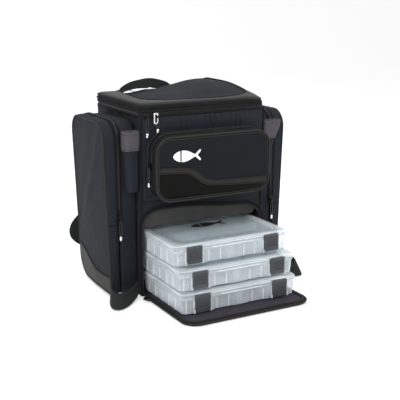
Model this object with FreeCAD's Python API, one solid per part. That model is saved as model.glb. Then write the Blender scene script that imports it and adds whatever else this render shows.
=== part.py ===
import FreeCAD, Part
import math
import os

V = FreeCAD.Vector
os.makedirs("parts", exist_ok=True)

# Millimetres, +Z up, front of the pack faces -Y, origin at the middle of the base's underside.

# body of the pack
body_half = 150.0
front_y = -123.0
jamb_front_y = -115.0
jamb_back_y = -109.0
rear_inner_y = 117.0
rear_outer_y = 123.0
side_wall = 5.0
base_top = 8.0
door_head_z = 212.0
seam_z = 395.0
shelf_z = 193.0
shelf_thick = 5.0
opening_half = 141.0
opening_top = 190.0
opening_radius = 38.0

# back
padding_half = 128.0
padding_thick = 16.0
padding_z = (20.0, 386.0)
padding_radius = 30.0
strap_x = 75.0
strap_width = 58.0
strap_thick = 12.0
webbing_width = 36.0
webbing_thick = 2.5
webbing_y = 141.0

# lid
lid_gap = 1.0
lid_rear_y = 122.0
lid_radius = 14.0
skirt_top = 412.0
skirt_wall = 6.0
board_top = 417.0
band_top = 419.5
dome_top = 440.0
dome_half = 113.0
dome_front_y = -81.0
dome_slope = 34.0

# carry handle
handle_x = -12.0
handle_half = 66.0
handle_top = 441.0
handle_root = 394.0
handle_y = (126.0, 129.0)
handle_width = 26.0

# front pocket
pocket_half = 136.0
pocket_z = (214.0, 354.0)
pocket_split_y = -141.5
pocket_front_y = -166.0
pocket_radius = 36.0
pocket_wall = 4.0
split_gap = 1.0
patch_top = 284.0
patch_thick = 1.5

# side pockets, written for the left side and mirrored
side_outer = 223.0
side_y = (-95.0, 98.0)
side_z = (4.0, 380.0)
side_radii = (14.0, 46.0, 42.0, 42.0)
side_wall_thick = 4.0
zip_x = 190.5
flap_split_z = 165.0
scuff_thick = 1.5
scuff_z = (78.0, 46.0)

# rod holders
sleeve_x = (150.3, 185.0)
sleeve_y = (-121.5, -95.3)
sleeve_z = (232.0, 359.0)
sleeve_wall = 2.5
sleeve_radius = 11.0
stirrup_z = (3.0, 41.0)
stirrup_thick = 3.0
stirrup_path = ((153.0, -98.0), (165.0, -108.0), (180.0, -140.0), (198.0, -158.0), (214.0, -146.0), (214.0, -98.0))

# door
hinge_y = -119.0
hinge_z = 5.0
door_start = 7.0
door_reach = 206.0
door_half = 150.0
door_radius = 18.0
binding_half = 4.0
binding_width = 10.0
panel_rise = 1.0
lining_rise = 3.0

# tackle boxes
box_names = ("bottom_box", "middle_box", "top_box")
box_pull = (175.0, 165.0, 140.0)
box_half = 137.5
box_deep = 185.0
box_tall = 45.0
box_pitch = 45.4
box_floor_z = 8.4
box_closed_y = -104.0
tray_tall = 35.0
tray_wall = 2.0
box_radius = 7.0
lid_recess = 1.6
latch_x = 93.0
latch_half = 17.5
latch_z = (5.0, 41.0)
latch_heel = (1.6, 9.0)
latch_gap = 0.5
latch_thick = 4.0
latch_pivot = (2.6, 6.4)
ear_wide = 3.0
ear_gap = 0.5
pin_radius = 1.3
pin_hole = 1.65

# zip sliders and their cord pulls
slider_half = 4.5
slider_tall = 13.0
slider_thick = 3.5
slider_gap = 0.4
eye_half = 2.0
eye_deep = 5.0
eye_hole = 1.4
cord_radius = 0.8
cord_side = 3.2
tip_radius = 3.4
tip_tall = 8.0


def save(shape, name):
    shape.exportStep("parts/" + name + ".step")


def block(x0, x1, y0, y1, z0, z1):
    return Part.makeBox(x1 - x0, y1 - y0, z1 - z0, V(x0, y0, z0))


def mirrored(shape):
    return shape.mirror(V(0, 0, 0), V(1, 0, 0))


def outline(u0, u1, v0, v1, radii, place):
    """Rounded rectangle as a face; radii run round from the (u0, v0) corner."""
    corners = ((u0, v0, 1, 1), (u1, v0, -1, 1), (u1, v1, -1, -1), (u0, v1, 1, -1))
    ends = []
    for number, (u, v, su, sv) in enumerate(corners):
        r = radii[number]
        along_v = (u, v + sv * r)
        along_u = (u + su * r, v)
        bend = r * (1 - math.sqrt(0.5))
        middle = (u + su * bend, v + sv * bend)
        first, last = (along_v, along_u) if number % 2 == 0 else (along_u, along_v)
        ends.append((first, middle, last))
    edges = []
    for number, (first, middle, last) in enumerate(ends):
        edges.append(Part.Arc(place(*first), place(*middle), place(*last)).toShape())
        following = ends[(number + 1) % 4][0]
        edges.append(Part.makeLine(place(*last), place(*following)))
    return Part.Face(Part.Wire(edges))


def plate_z(x0, x1, y0, y1, z0, z1, radii):
    face = outline(x0, x1, y0, y1, radii, lambda u, v: V(u, v, z0))
    return face.extrude(V(0, 0, z1 - z0))


def plate_y(x0, x1, z0, z1, y0, y1, radii):
    face = outline(x0, x1, z0, z1, radii, lambda u, v: V(u, y0, v))
    return face.extrude(V(0, y1 - y0, 0))


def plate_x(y0, y1, z0, z1, x0, x1, radii):
    face = outline(y0, y1, z0, z1, radii, lambda u, v: V(x0, u, v))
    return face.extrude(V(x1 - x0, 0, 0))


def ribbon(points, half_width, place, thickness):
    """A strip of constant width along a flat path, pushed out by the vector thickness."""
    strip = None
    for (ua, va), (ub, vb) in zip(points, points[1:]):
        length = math.hypot(ub - ua, vb - va)
        nu = -(vb - va) / length * half_width
        nv = (ub - ua) / length * half_width
        corners = [(ua + nu, va + nv), (ub + nu, vb + nv), (ub - nu, vb - nv), (ua - nu, va - nv)]
        wire = Part.makePolygon([place(u, v) for u, v in corners + corners[:1]])
        piece = Part.Face(wire).extrude(thickness)
        strip = piece if strip is None else strip.fuse(piece)
    direction = V(thickness)
    for u, v in points[1:-1]:
        bend = Part.makeCylinder(half_width, direction.Length, place(u, v), direction)
        strip = strip.fuse(bend)
    return strip.removeSplitter()


def make_body():
    save(block(-body_half, body_half, jamb_front_y, rear_outer_y, 0, base_top), "base_board")
    save(block(-body_half, body_half, rear_inner_y, rear_outer_y, base_top, seam_z), "rear_wall")
    side = block(-body_half, -body_half + side_wall, jamb_back_y, rear_inner_y, base_top, seam_z)
    save(side, "left_side_wall")
    save(mirrored(side), "right_side_wall")
    save(block(-body_half, body_half, front_y, jamb_back_y, door_head_z, seam_z), "front_panel")
    frame = block(-body_half, body_half, jamb_front_y, jamb_back_y, base_top, door_head_z)
    radii = (0.5, 0.5, opening_radius, opening_radius)
    hole = plate_y(-opening_half, opening_half, base_top - 5, opening_top, jamb_front_y - 1, jamb_back_y + 1, radii)
    save(frame.cut(hole), "opening_frame")
    inner = body_half - side_wall
    save(block(-inner, inner, jamb_back_y, rear_inner_y, shelf_z, shelf_z + shelf_thick), "divider_shelf")
    radii = (padding_radius,) * 4
    back = rear_outer_y + padding_thick
    save(plate_y(-padding_half, padding_half, *padding_z, rear_outer_y, back, radii), "back_padding")


def make_lid():
    bottom = seam_z + lid_gap
    radii = (lid_radius,) * 4
    skirt = plate_z(-body_half, body_half, front_y, lid_rear_y, bottom, skirt_top, radii)
    inner = (lid_radius - skirt_wall,) * 4
    reach = body_half - skirt_wall
    hollow = plate_z(-reach, reach, front_y + skirt_wall, lid_rear_y - skirt_wall, bottom - 1, skirt_top + 1, inner)
    save(skirt.cut(hollow), "lid_skirt")
    board = plate_z(-body_half, body_half, front_y, lid_rear_y, skirt_top, board_top, radii)
    low = outline(-dome_half, dome_half, dome_front_y, lid_rear_y, radii, lambda u, v: V(u, v, board_top))
    half = dome_half - dome_slope
    top_y = (dome_front_y + dome_slope, lid_rear_y - dome_slope)
    high = outline(-half, half, *top_y, radii, lambda u, v: V(u, v, dome_top))
    dome = Part.makeLoft([low.OuterWire, high.OuterWire], True, True)
    save(board.fuse(dome).removeSplitter(), "lid_panel")
    band = plate_z(-body_half, body_half, front_y, lid_rear_y, board_top, band_top, radii)
    window = plate_z(-dome_half, dome_half, dome_front_y, lid_rear_y + 1, board_top - 1, band_top + 1, radii)
    save(band.cut(window), "lid_border_band")


def make_handle():
    rise = handle_top - handle_root
    outer = plate_y(handle_x - handle_half, handle_x + handle_half, handle_root, handle_top, *handle_y, (0.5, 0.5, 36, 36))
    inner_half = handle_half - handle_width
    inner_top = handle_root + rise - handle_width
    hole = plate_y(handle_x - inner_half, handle_x + inner_half, handle_root - 5, inner_top,
                   handle_y[0] - 1, handle_y[1] + 1, (0.5, 0.5, 14, 14))
    save(outer.cut(hole), "grab_handle")


def make_straps():
    inner = [(141, 378), (156, 340), (159, 300), (155, 250), (146, 196)]
    outer = [(y + strap_thick, z + 2) for y, z in inner]
    face_x = strap_x - strap_width / 2
    near = Part.BSplineCurve()
    near.interpolate([V(face_x, y, z) for y, z in inner])
    far = Part.BSplineCurve()
    far.interpolate([V(face_x, y, z) for y, z in outer])
    top = Part.makeLine(V(face_x, *inner[0]), V(face_x, *outer[0]))
    foot = Part.makeLine(V(face_x, *inner[-1]), V(face_x, *outer[-1]))
    profile = Part.Wire(Part.sortEdges([near.toShape(), far.toShape(), top, foot])[0])
    strap = Part.Face(profile).extrude(V(strap_width, 0, 0))
    save(Part.makeCompound([strap, mirrored(strap)]), "shoulder_straps")
    path = [(-78, 172), (-150, 140), (-196, 104), (-150, 62), (-120, 40)]
    web = ribbon(path, webbing_width / 2, lambda u, v: V(u, webbing_y, v), V(0, webbing_thick, 0))
    save(Part.makeCompound([web, mirrored(web)]), "strap_webbing")
    lock = plate_y(-104, -48, 170, 192, 144.0, 149.0, (4,) * 4)
    slot = block(-96, -56, 143, 150, 177, 184)
    lock = lock.cut(slot)
    save(Part.makeCompound([lock, mirrored(lock)]), "ladder_locks")


def make_front_pocket():
    radii = (pocket_radius,) * 4
    inner_radii = (pocket_radius - pocket_wall,) * 4
    low, high = pocket_z
    inner = (-pocket_half + pocket_wall, pocket_half - pocket_wall, low + pocket_wall, high - pocket_wall)
    hollow = plate_y(*inner, pocket_front_y + pocket_wall, front_y + 1, inner_radii)
    root = plate_y(-pocket_half, pocket_half, low, high, pocket_split_y + split_gap / 2, front_y, radii)
    save(root.cut(hollow), "front_pocket_gusset")
    flap = plate_y(-pocket_half, pocket_half, low, high, pocket_front_y, pocket_split_y - split_gap / 2, radii)
    save(flap.cut(hollow), "front_pocket_flap")
    face = pocket_front_y - patch_thick
    edge = binding_width
    patch = plate_y(-pocket_half + edge, pocket_half - edge, low + edge, high - edge, face, pocket_front_y,
                    (pocket_radius - edge,) * 4)
    below = block(-pocket_half, pocket_half, face - 1, pocket_front_y + 1, low, patch_top)
    save(patch.common(below), "front_pocket_patch")
    bead = plate_y(-pocket_half, pocket_half, low, high, face - 1, pocket_front_y, radii)
    middle = plate_y(-pocket_half + 5, pocket_half - 5, low + 5, high - 5, face - 2, pocket_front_y + 1,
                     (pocket_radius - 5,) * 4)
    save(bead.cut(middle), "front_pocket_piping")


def make_side_pocket(side, turned):
    y0, y1 = side_y
    z0, z1 = side_z
    wall = side_wall_thick
    inner_radii = tuple(r - wall for r in side_radii)
    outer = plate_x(y0, y1, z0, z1, -side_outer, -body_half, side_radii)
    hollow = plate_x(y0 + wall, y1 - wall, z0 + wall, z1 - wall, -side_outer + wall, -body_half + 1, inner_radii)
    shell = outer.cut(hollow)
    top_outer = block(-side_outer - 1, -zip_x, y0 - 1, y1 + 1, flap_split_z, z1 + 1)
    save(turned(shell.cut(top_outer)), side + "_pocket_body")
    lifted = block(-side_outer - 1, -zip_x - split_gap, y0 - 1, y1 + 1, flap_split_z + split_gap, z1 + 1)
    save(turned(shell.common(lifted)), side + "_pocket_flap")
    face = plate_x(y0, y1, z0, z1, -side_outer - scuff_thick, -side_outer, side_radii)
    inside = plate_x(y0 + 4, y1 - 4, z0 + 4, z1 - 4, -side_outer - scuff_thick - 1, -side_outer + 1,
                     tuple(r - 4 for r in side_radii))
    above = block(-side_outer - 3, -side_outer, y0 - 1, y1 + 1, flap_split_z + split_gap, z1 + 1)
    save(turned(face.cut(inside).common(above)), side + "_flap_piping")
    corners = [V(-side_outer - 3, y0 - 1, z0 - 1), V(-side_outer - 3, y1 + 1, z0 - 1),
               V(-side_outer - 3, y1 + 1, scuff_z[0]), V(-side_outer - 3, y0 - 1, scuff_z[1])]
    rise = Part.Arc(corners[2], V(-side_outer - 3, (y0 + y1) / 2, 44), corners[3]).toShape()
    edges = [Part.makeLine(corners[0], corners[1]), Part.makeLine(corners[1], corners[2]), rise,
             Part.makeLine(corners[3], corners[0])]
    cutter = Part.Face(Part.Wire(edges)).extrude(V(6, 0, 0))
    return turned(face.common(cutter))


def make_rod_holder(side, turned):
    radii = (sleeve_radius,) * 4
    x0, x1 = -sleeve_x[1], -sleeve_x[0]
    outer = plate_z(x0, x1, *sleeve_y, *sleeve_z, radii)
    inner_radii = (sleeve_radius - sleeve_wall,) * 4
    bore = plate_z(x0 + sleeve_wall, x1 - sleeve_wall, sleeve_y[0] + sleeve_wall, sleeve_y[1] - sleeve_wall,
                   sleeve_z[0] - 1, sleeve_z[1] + 1, inner_radii)
    save(turned(outer.cut(bore)), side + "_rod_sleeve")
    path = [(-x, y) for x, y in stirrup_path]
    tall = V(0, 0, stirrup_z[1] - stirrup_z[0])
    return turned(ribbon(path, stirrup_thick / 2, lambda u, v: V(u, v, stirrup_z[0]), tall))


def make_door():
    back = hinge_y - door_start
    front = hinge_y - door_reach
    radii = (door_radius, door_radius, 1.0, 1.0)
    low = hinge_z - binding_half
    whole = plate_z(-door_half, door_half, front, back, low, hinge_z + binding_half, radii)
    edge = binding_width
    inside = plate_z(-door_half + edge, door_half - edge, front + edge, back + 1, low - 1,
                     hinge_z + binding_half + 1, (door_radius - edge, door_radius - edge, 0.5, 0.5))
    save(whole.cut(inside), "door_binding")
    shared = (-door_half + edge, door_half - edge, front + edge, back)
    inner = (door_radius - edge, door_radius - edge, 0.5, 0.5)
    save(plate_z(*shared, low, hinge_z + panel_rise, inner), "door_panel")
    save(plate_z(*shared, hinge_z + panel_rise, hinge_z + lining_rise, inner), "door_lining")


def box_tray(y, z):
    radii = (box_radius,) * 4
    outer = plate_z(-box_half, box_half, y, y + box_deep, z, z + tray_tall, radii)
    wall = tray_wall
    hollow = plate_z(-box_half + wall, box_half - wall, y + wall, y + box_deep - wall, z + wall,
                     z + tray_tall + 1, (box_radius - wall,) * 4)
    tray = outer.cut(hollow)
    back, up = latch_pivot
    for x in (-latch_x, latch_x):
        for side in (-1, 1):
            near = x + side * (latch_half + ear_gap)
            far = near + side * ear_wide
            ear = block(min(near, far), max(near, far), y - 5, y, z + 3, z + 10)
            hole = Part.makeCylinder(pin_hole, ear_wide + 2, V(min(near, far) - 1, y - back, z + up), V(1, 0, 0))
            tray = tray.fuse(ear.cut(hole))
    return tray.removeSplitter()


def box_lid(y, z):
    radii = (box_radius,) * 4
    low = z + tray_tall
    top = z + box_tall
    outer = plate_z(-box_half, box_half, y, y + box_deep, low, top, radii)
    wall = tray_wall
    hollow = plate_z(-box_half + wall, box_half - wall, y + wall, y + box_deep - wall, low - 1, top - wall - lid_recess,
                     (box_radius - wall,) * 4)
    panel = plate_z(-box_half + 16, box_half - 16, y + 20, y + box_deep - 16, top - lid_recess, top + 1, (14,) * 4)
    return outer.cut(hollow).cut(panel)


def box_dividers(y, z):
    clear = 0.3
    inner_x = box_half - tray_wall - clear
    inner_y = (y + tray_wall + clear, y + box_deep - tray_wall - clear)
    floor = z + tray_wall
    top = z + tray_tall - 2
    thick = 1.6
    rows = (y + 62.0, y + 124.0)
    plates = []
    for row in rows:
        plates.append(block(-inner_x, inner_x, row, row + thick, floor, top))
    bays = ((inner_y[0], rows[0] - clear), (rows[0] + thick + clear, rows[1] - clear), (rows[1] + thick + clear, inner_y[1]))
    columns = ((-70.0, 0.0, 70.0), (-46.0, 46.0), (-92.0, -30.0, 30.0, 92.0))
    for (near, far), across in zip(bays, columns):
        for x in across:
            plates.append(block(x, x + thick, near, far, floor, top))
    return Part.makeCompound(plates)


def box_latch(x, y, z):
    back, up = latch_pivot
    face = plate_y(x - latch_half, x + latch_half, z + latch_z[0], z + latch_z[1], y - latch_gap - latch_thick,
                   y - latch_gap, (2.0, 2.0, 3.0, 3.0))
    start = x - latch_half - ear_gap - ear_wide + 0.3
    length = 2 * (latch_half + ear_gap + ear_wide - 0.3)
    pin = Part.makeCylinder(pin_radius, length, V(start, y - back, z + up), V(1, 0, 0))
    heel_y, heel_z = latch_heel
    heel = block(x - latch_half - 1, x + latch_half + 1, y - heel_y, y, z, z + heel_z)
    latch = face.cut(heel).fuse(pin)
    for number in range(5):
        low = z + 15 + number * 4.4
        groove = block(x - latch_half + 3, x + latch_half - 3, y - latch_gap - latch_thick - 1,
                       y - latch_gap - latch_thick + 0.8, low, low + 1.8)
        latch = latch.cut(groove)
    return latch.removeSplitter()


def make_boxes():
    for number, name in enumerate(box_names):
        y = box_closed_y - box_pull[number]
        z = box_floor_z + number * box_pitch
        save(box_tray(y, z), name + "_tray")
        save(box_lid(y, z), name + "_lid")
        save(box_dividers(y, z), name + "_dividers")
        save(box_latch(-latch_x, y, z), name + "_left_latch")
        save(box_latch(latch_x, y, z), name + "_right_latch")


def slider():
    """Zip slider facing -Y; its back is at y = 0 and its eye's middle is at the origin's height."""
    half = slider_tall / 2
    body = plate_y(-slider_half, slider_half, -half, half, -slider_thick, 0, (3.0, 3.0, 2.0, 2.0))
    front = -slider_thick - eye_deep
    eye = plate_x(front, -slider_thick, -3.0, 3.0, -eye_half, eye_half, (2.0, 0.5, 0.5, 2.0))
    hole = Part.makeCylinder(eye_hole, 2 * eye_half + 2, V(-eye_half - 1, -slider_thick - eye_deep / 2, 0), V(1, 0, 0))
    return body.fuse(eye).cut(hole).removeSplitter()


def cord_pull(length):
    """Cord loop through the slider's eye with a metal end, hanging down."""
    y = -slider_thick - eye_deep / 2
    r = cord_radius
    bar = Part.makeCylinder(r, 2 * cord_side, V(-cord_side, y, 0), V(1, 0, 0))
    loop = bar
    neck = -length + tip_tall
    for side in (-1, 1):
        x = side * cord_side
        loop = loop.fuse(Part.makeSphere(r, V(x, y, 0)))
        bend = neck + 9.0
        loop = loop.fuse(Part.makeCylinder(r, -bend, V(x, y, bend), V(0, 0, 1)))
        loop = loop.fuse(Part.makeSphere(r, V(x, y, bend)))
        slant = V(side * 1.2 - x, 0, neck - bend)
        loop = loop.fuse(Part.makeCylinder(r, slant.Length, V(x, y, bend), slant))
    keep = block(-10, 10, y - 5, y + 5, neck, 5)
    collar = tip_tall * 0.45
    tip = Part.makeCone(tip_radius, tip_radius * 0.55, collar, V(0, y, neck - collar), V(0, 0, 1))
    tip = tip.fuse(Part.makeCylinder(tip_radius, tip_tall - collar, V(0, y, neck - tip_tall), V(0, 0, 1)))
    return Part.makeCompound([loop.common(keep), tip.removeSplitter()])


def put(shape, x, y, z, turn):
    placed = shape.copy()
    placed.rotate(V(0, 0, 0), V(0, 0, 1), turn)
    placed.translate(V(x, y, z))
    return placed


def make_zips():
    gap = slider_gap
    spots = (("lid_front", -115.0, front_y - gap, 390.0, 0, 35.0),
             ("lid_corner", -139.0, front_y - gap, 390.0, 0, 43.0),
             ("front_pocket", -pocket_half - gap, pocket_split_y, 290.0, -90, 44.0),
             ("left_pocket", -zip_x, side_y[0] - gap, 173.0, 0, 46.0),
             ("right_pocket", zip_x, side_y[0] - gap, 173.0, 0, 46.0))
    for name, x, y, z, turn, length in spots:
        save(put(slider(), x, y, z, turn), name + "_zip_slider")
        save(put(cord_pull(length), x, y, z, turn), name + "_zip_pull")
    tab = plate_y(-2.5, 2.5, -14, -6, -slider_thick, -1.0, (1.0,) * 4)
    flat = slider().fuse(tab)
    flat.rotate(V(0, 0, 0), V(1, 0, 0), -90)
    flat.rotate(V(0, 0, 0), V(0, 1, 0), -90)
    flat.translate(V(-door_half - gap, hinge_y - 22.0, hinge_z))
    save(flat, "door_zip_slider")


make_body()
make_lid()
make_handle()
make_straps()
make_front_pocket()
scuffs = [make_side_pocket("left", lambda s: s), make_side_pocket("right", mirrored)]
save(Part.makeCompound(scuffs), "scuff_panels")
loops = [make_rod_holder("left", lambda s: s), make_rod_holder("right", mirrored)]
save(Part.makeCompound(loops), "stirrup_loops")
make_door()
make_boxes()
make_zips()
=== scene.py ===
import bpy, bmesh, math
from mathutils import Vector, Matrix, noise


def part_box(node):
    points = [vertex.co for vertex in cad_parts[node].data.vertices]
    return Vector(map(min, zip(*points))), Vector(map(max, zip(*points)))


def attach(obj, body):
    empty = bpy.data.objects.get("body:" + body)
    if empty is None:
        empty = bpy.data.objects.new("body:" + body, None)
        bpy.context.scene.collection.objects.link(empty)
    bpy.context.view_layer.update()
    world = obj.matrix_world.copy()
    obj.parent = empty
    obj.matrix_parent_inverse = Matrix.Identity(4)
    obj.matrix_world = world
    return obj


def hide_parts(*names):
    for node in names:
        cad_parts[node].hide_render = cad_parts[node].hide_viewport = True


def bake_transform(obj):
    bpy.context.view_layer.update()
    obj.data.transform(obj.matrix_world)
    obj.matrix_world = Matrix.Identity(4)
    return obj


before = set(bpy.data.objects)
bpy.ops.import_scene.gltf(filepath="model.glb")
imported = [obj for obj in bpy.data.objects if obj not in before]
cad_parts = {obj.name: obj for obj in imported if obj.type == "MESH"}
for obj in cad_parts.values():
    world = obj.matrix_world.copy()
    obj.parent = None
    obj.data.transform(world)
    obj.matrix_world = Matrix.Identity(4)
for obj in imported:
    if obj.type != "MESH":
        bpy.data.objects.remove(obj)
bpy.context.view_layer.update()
scene = bpy.context.scene
scene.view_settings.view_transform = "Standard"
scene.view_settings.look = "None"

# the folds in the fabric fall the same way in every run
creaseNoise = {"seed": 1795107606}
noise.seed_set(creaseNoise["seed"])


# view, light and floor
view = {"place": (-0.8777, -1.6695, 0.6363), "turn": 28.77, "tip": 14.13, "lens": 75.6,
        "shiftX": 0.0172, "shiftY": 0.0116}
light = {"sky": 0.60, "backdrop": 1.0, "key": 48.0, "fill": 24.0, "top": 26.0,
        "floorTone": (0.86, 0.86, 0.865, 1.0), "floorGlow": 0.36}


def addCamera():
    data = bpy.data.cameras.new("viewCamera")
    camera = bpy.data.objects.new("viewCamera", data)
    scene.collection.objects.link(camera)
    data.lens = view["lens"]
    data.shift_x = view["shiftX"]
    data.shift_y = view["shiftY"]
    data.clip_end = 30.0
    camera.location = view["place"]
    camera.rotation_euler = (math.radians(90 - view["tip"]), 0, math.radians(-view["turn"]))
    scene.camera = camera


def areaLight(name, place, aim, size, power):
    data = bpy.data.lights.new(name, "AREA")
    data.shape = "RECTANGLE"
    data.size = size[0]
    data.size_y = size[1]
    data.energy = power
    lamp = bpy.data.objects.new(name, data)
    scene.collection.objects.link(lamp)
    lamp.location = place
    lamp.rotation_euler = (Vector(aim) - Vector(place)).to_track_quat("-Z", "Y").to_euler()


addCamera()
areaLight("keyLight", (-1.7, -1.5, 2.1), (0, 0, 0.2), (1.6, 1.6), light["key"])
areaLight("fillLight", (2.2, -1.6, 1.3), (0, 0, 0.2), (1.6, 1.4), light["fill"])
areaLight("topLight", (0.1, 0.3, 2.6), (0, 0, 0.2), (2.2, 2.2), light["top"])
world = bpy.data.worlds.new("paleRoom")
scene.world = world
world.use_nodes = True
world.node_tree.nodes["Background"].inputs["Color"].default_value = (1, 1, 1, 1)
seen = world.node_tree.nodes.new("ShaderNodeLightPath")
glow = world.node_tree.nodes.new("ShaderNodeMapRange")  # white behind the bag, softer as a light
glow.inputs["To Min"].default_value = light["sky"]
glow.inputs["To Max"].default_value = light["backdrop"]
world.node_tree.links.new(seen.outputs["Is Camera Ray"], glow.inputs["Value"])
world.node_tree.links.new(glow.outputs["Result"], world.node_tree.nodes["Background"].inputs["Strength"])
print("view and light set")


# shared effects, each one node group
def newGroup(name, inputs, outputs):
    tree = bpy.data.node_groups.new(name, "ShaderNodeTree")
    for label, kind, value in inputs:
        socket = tree.interface.new_socket(name=label, in_out="INPUT", socket_type=kind)
        if value is not None:
            socket.default_value = value
    for label, kind in outputs:
        tree.interface.new_socket(name=label, in_out="OUTPUT", socket_type=kind)
    return tree, tree.nodes.new("NodeGroupInput"), tree.nodes.new("NodeGroupOutput")


def mathNode(tree, kind, a, b=None, c=None):
    node = tree.nodes.new("ShaderNodeMath")
    node.operation = kind
    for number, value in enumerate((a, b, c)):
        if value is None:
            continue
        if isinstance(value, (int, float)):
            node.inputs[number].default_value = value
        else:
            tree.links.new(value, node.inputs[number])
    return node.outputs[0]


def mixColour(tree, factor, a, b):
    node = tree.nodes.new("ShaderNodeMix")
    node.data_type = "RGBA"
    for socket, value in ((node.inputs[0], factor), (node.inputs[6], a), (node.inputs[7], b)):
        if isinstance(value, (int, float, tuple)):
            socket.default_value = value
        else:
            tree.links.new(value, socket)
    return node.outputs[2]


def faceCoordinates(tree):
    # u and v lie in whichever flat direction the surface faces most
    place = tree.nodes.new("ShaderNodeTexCoord").outputs["Object"]
    split = tree.nodes.new("ShaderNodeSeparateXYZ")
    tree.links.new(place, split.inputs[0])
    normal = tree.nodes.new("ShaderNodeTexCoord").outputs["Normal"]
    facing = tree.nodes.new("ShaderNodeSeparateXYZ")
    tree.links.new(normal, facing.inputs[0])
    sideways = mathNode(tree, "GREATER_THAN", mathNode(tree, "ABSOLUTE", facing.outputs[0]), 0.7)
    upward = mathNode(tree, "GREATER_THAN", mathNode(tree, "ABSOLUTE", facing.outputs[2]), 0.7)
    x, y, z = split.outputs
    u = mathNode(tree, "ADD", mathNode(tree, "MULTIPLY", x, mathNode(tree, "SUBTRACT", 1.0, sideways)),
                 mathNode(tree, "MULTIPLY", y, sideways))
    v = mathNode(tree, "ADD", mathNode(tree, "MULTIPLY", z, mathNode(tree, "SUBTRACT", 1.0, upward)),
                 mathNode(tree, "MULTIPLY", y, upward))
    return place, u, v, facing.outputs[2]


def cloudy(tree, place, scale, detail=3.0, rough=0.55):
    node = tree.nodes.new("ShaderNodeTexNoise")
    node.inputs["Scale"].default_value = scale
    node.inputs["Detail"].default_value = detail
    node.inputs["Roughness"].default_value = rough
    tree.links.new(place, node.inputs["Vector"])
    return node.outputs["Fac"]


def scaleTone(tree, given, gain, out):
    # the tone given to the group, made lighter or darker
    scaled = tree.nodes.new("ShaderNodeVectorMath")
    scaled.operation = "SCALE"
    tree.links.new(given.outputs["Tone"], scaled.inputs[0])
    tree.links.new(gain, scaled.inputs["Scale"])
    tree.links.new(scaled.outputs[0], out.inputs["Tone"])


def buildWeave():
    tree, given, out = newGroup("wovenCloth", [("Tone", "NodeSocketColor", (0.03, 0.04, 0.05, 1)),
                                ("Thread Size", "NodeSocketFloat", 0.0011),
                                ("Tone Spread", "NodeSocketFloat", 0.35),
                                ("Roughness", "NodeSocketFloat", 0.8)],
                                [("Tone", "NodeSocketColor"), ("Roughness", "NodeSocketFloat"),
                                ("Height", "NodeSocketFloat")])
    place, u, v, up = faceCoordinates(tree)
    turn = mathNode(tree, "DIVIDE", 6.2832, given.outputs["Thread Size"])
    warp = mathNode(tree, "SINE", mathNode(tree, "MULTIPLY", u, turn))
    weft = mathNode(tree, "SINE", mathNode(tree, "MULTIPLY", v, turn))
    cross = mathNode(tree, "MULTIPLY", warp, weft)
    height = mathNode(tree, "MULTIPLY_ADD", cross, 0.5, 0.5)
    slub = cloudy(tree, place, 60.0, 4.0)
    patch = cloudy(tree, place, 9.0, 2.0)
    shade = mathNode(tree, "ADD", mathNode(tree, "MULTIPLY", height, 0.35),
            mathNode(tree, "MULTIPLY", slub, 0.5))
    shade = mathNode(tree, "ADD", shade, mathNode(tree, "MULTIPLY", patch, 0.5))
    shade = mathNode(tree, "SUBTRACT", shade, 0.675)
    gain = mathNode(tree, "MULTIPLY_ADD", shade, given.outputs["Tone Spread"], 1.0)
    scaleTone(tree, given, gain, out)
    tree.links.new(mathNode(tree, "MULTIPLY_ADD", mathNode(tree, "SUBTRACT", slub, 0.5), 0.25,
            given.outputs["Roughness"]), out.inputs["Roughness"])
    tree.links.new(mathNode(tree, "ADD", height, mathNode(tree, "MULTIPLY", slub, 0.6)), out.inputs["Height"])
    return tree


def buildRibs():
    tree, given, out = newGroup("ribbedWebbing",
            [("Tone", "NodeSocketColor", (0.03, 0.03, 0.03, 1)), ("Rib Size", "NodeSocketFloat", 0.0016)],
                                [("Tone", "NodeSocketColor"), ("Height", "NodeSocketFloat")])
    place, u, v, up = faceCoordinates(tree)
    turn = mathNode(tree, "DIVIDE", 6.2832, given.outputs["Rib Size"])
    rib = mathNode(tree, "SINE", mathNode(tree, "MULTIPLY",
            mathNode(tree, "ADD", u, mathNode(tree, "MULTIPLY", v, 0.8)), turn))
    fleck = mathNode(tree, "SINE", mathNode(tree, "MULTIPLY", mathNode(tree, "SUBTRACT", u, v),
            mathNode(tree, "MULTIPLY", turn, 0.6)))
    height = mathNode(tree, "MULTIPLY_ADD", mathNode(tree, "MULTIPLY", rib, fleck), 0.5, 0.5)
    gain = mathNode(tree, "MULTIPLY_ADD", mathNode(tree, "ADD", height, cloudy(tree, place, 40.0)), 0.3, 0.7)
    scaleTone(tree, given, gain, out)
    tree.links.new(height, out.inputs["Height"])
    return tree


def buildDust():
    tree, given, out = newGroup("lightDust", [("Tone", "NodeSocketColor", (0.03, 0.03, 0.03, 1)),
            ("Dust Tone", "NodeSocketColor", (0.12, 0.12, 0.115, 1)),
                                ("Amount", "NodeSocketFloat", 0.06)],
                                [("Tone", "NodeSocketColor"), ("Mask", "NodeSocketFloat")])
    place, u, v, up = faceCoordinates(tree)
    lie = mathNode(tree, "MAXIMUM", up, 0.0)
    mask = mathNode(tree, "MULTIPLY", mathNode(tree, "MULTIPLY_ADD", lie, 0.7, 0.3),
            cloudy(tree, place, 22.0, 6.0, 0.7))
    mask = mathNode(tree, "MULTIPLY", mask, given.outputs["Amount"])
    tree.links.new(mixColour(tree, mask, given.outputs["Tone"], given.outputs["Dust Tone"]),
            out.inputs["Tone"])
    tree.links.new(mask, out.inputs["Mask"])
    return tree


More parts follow.
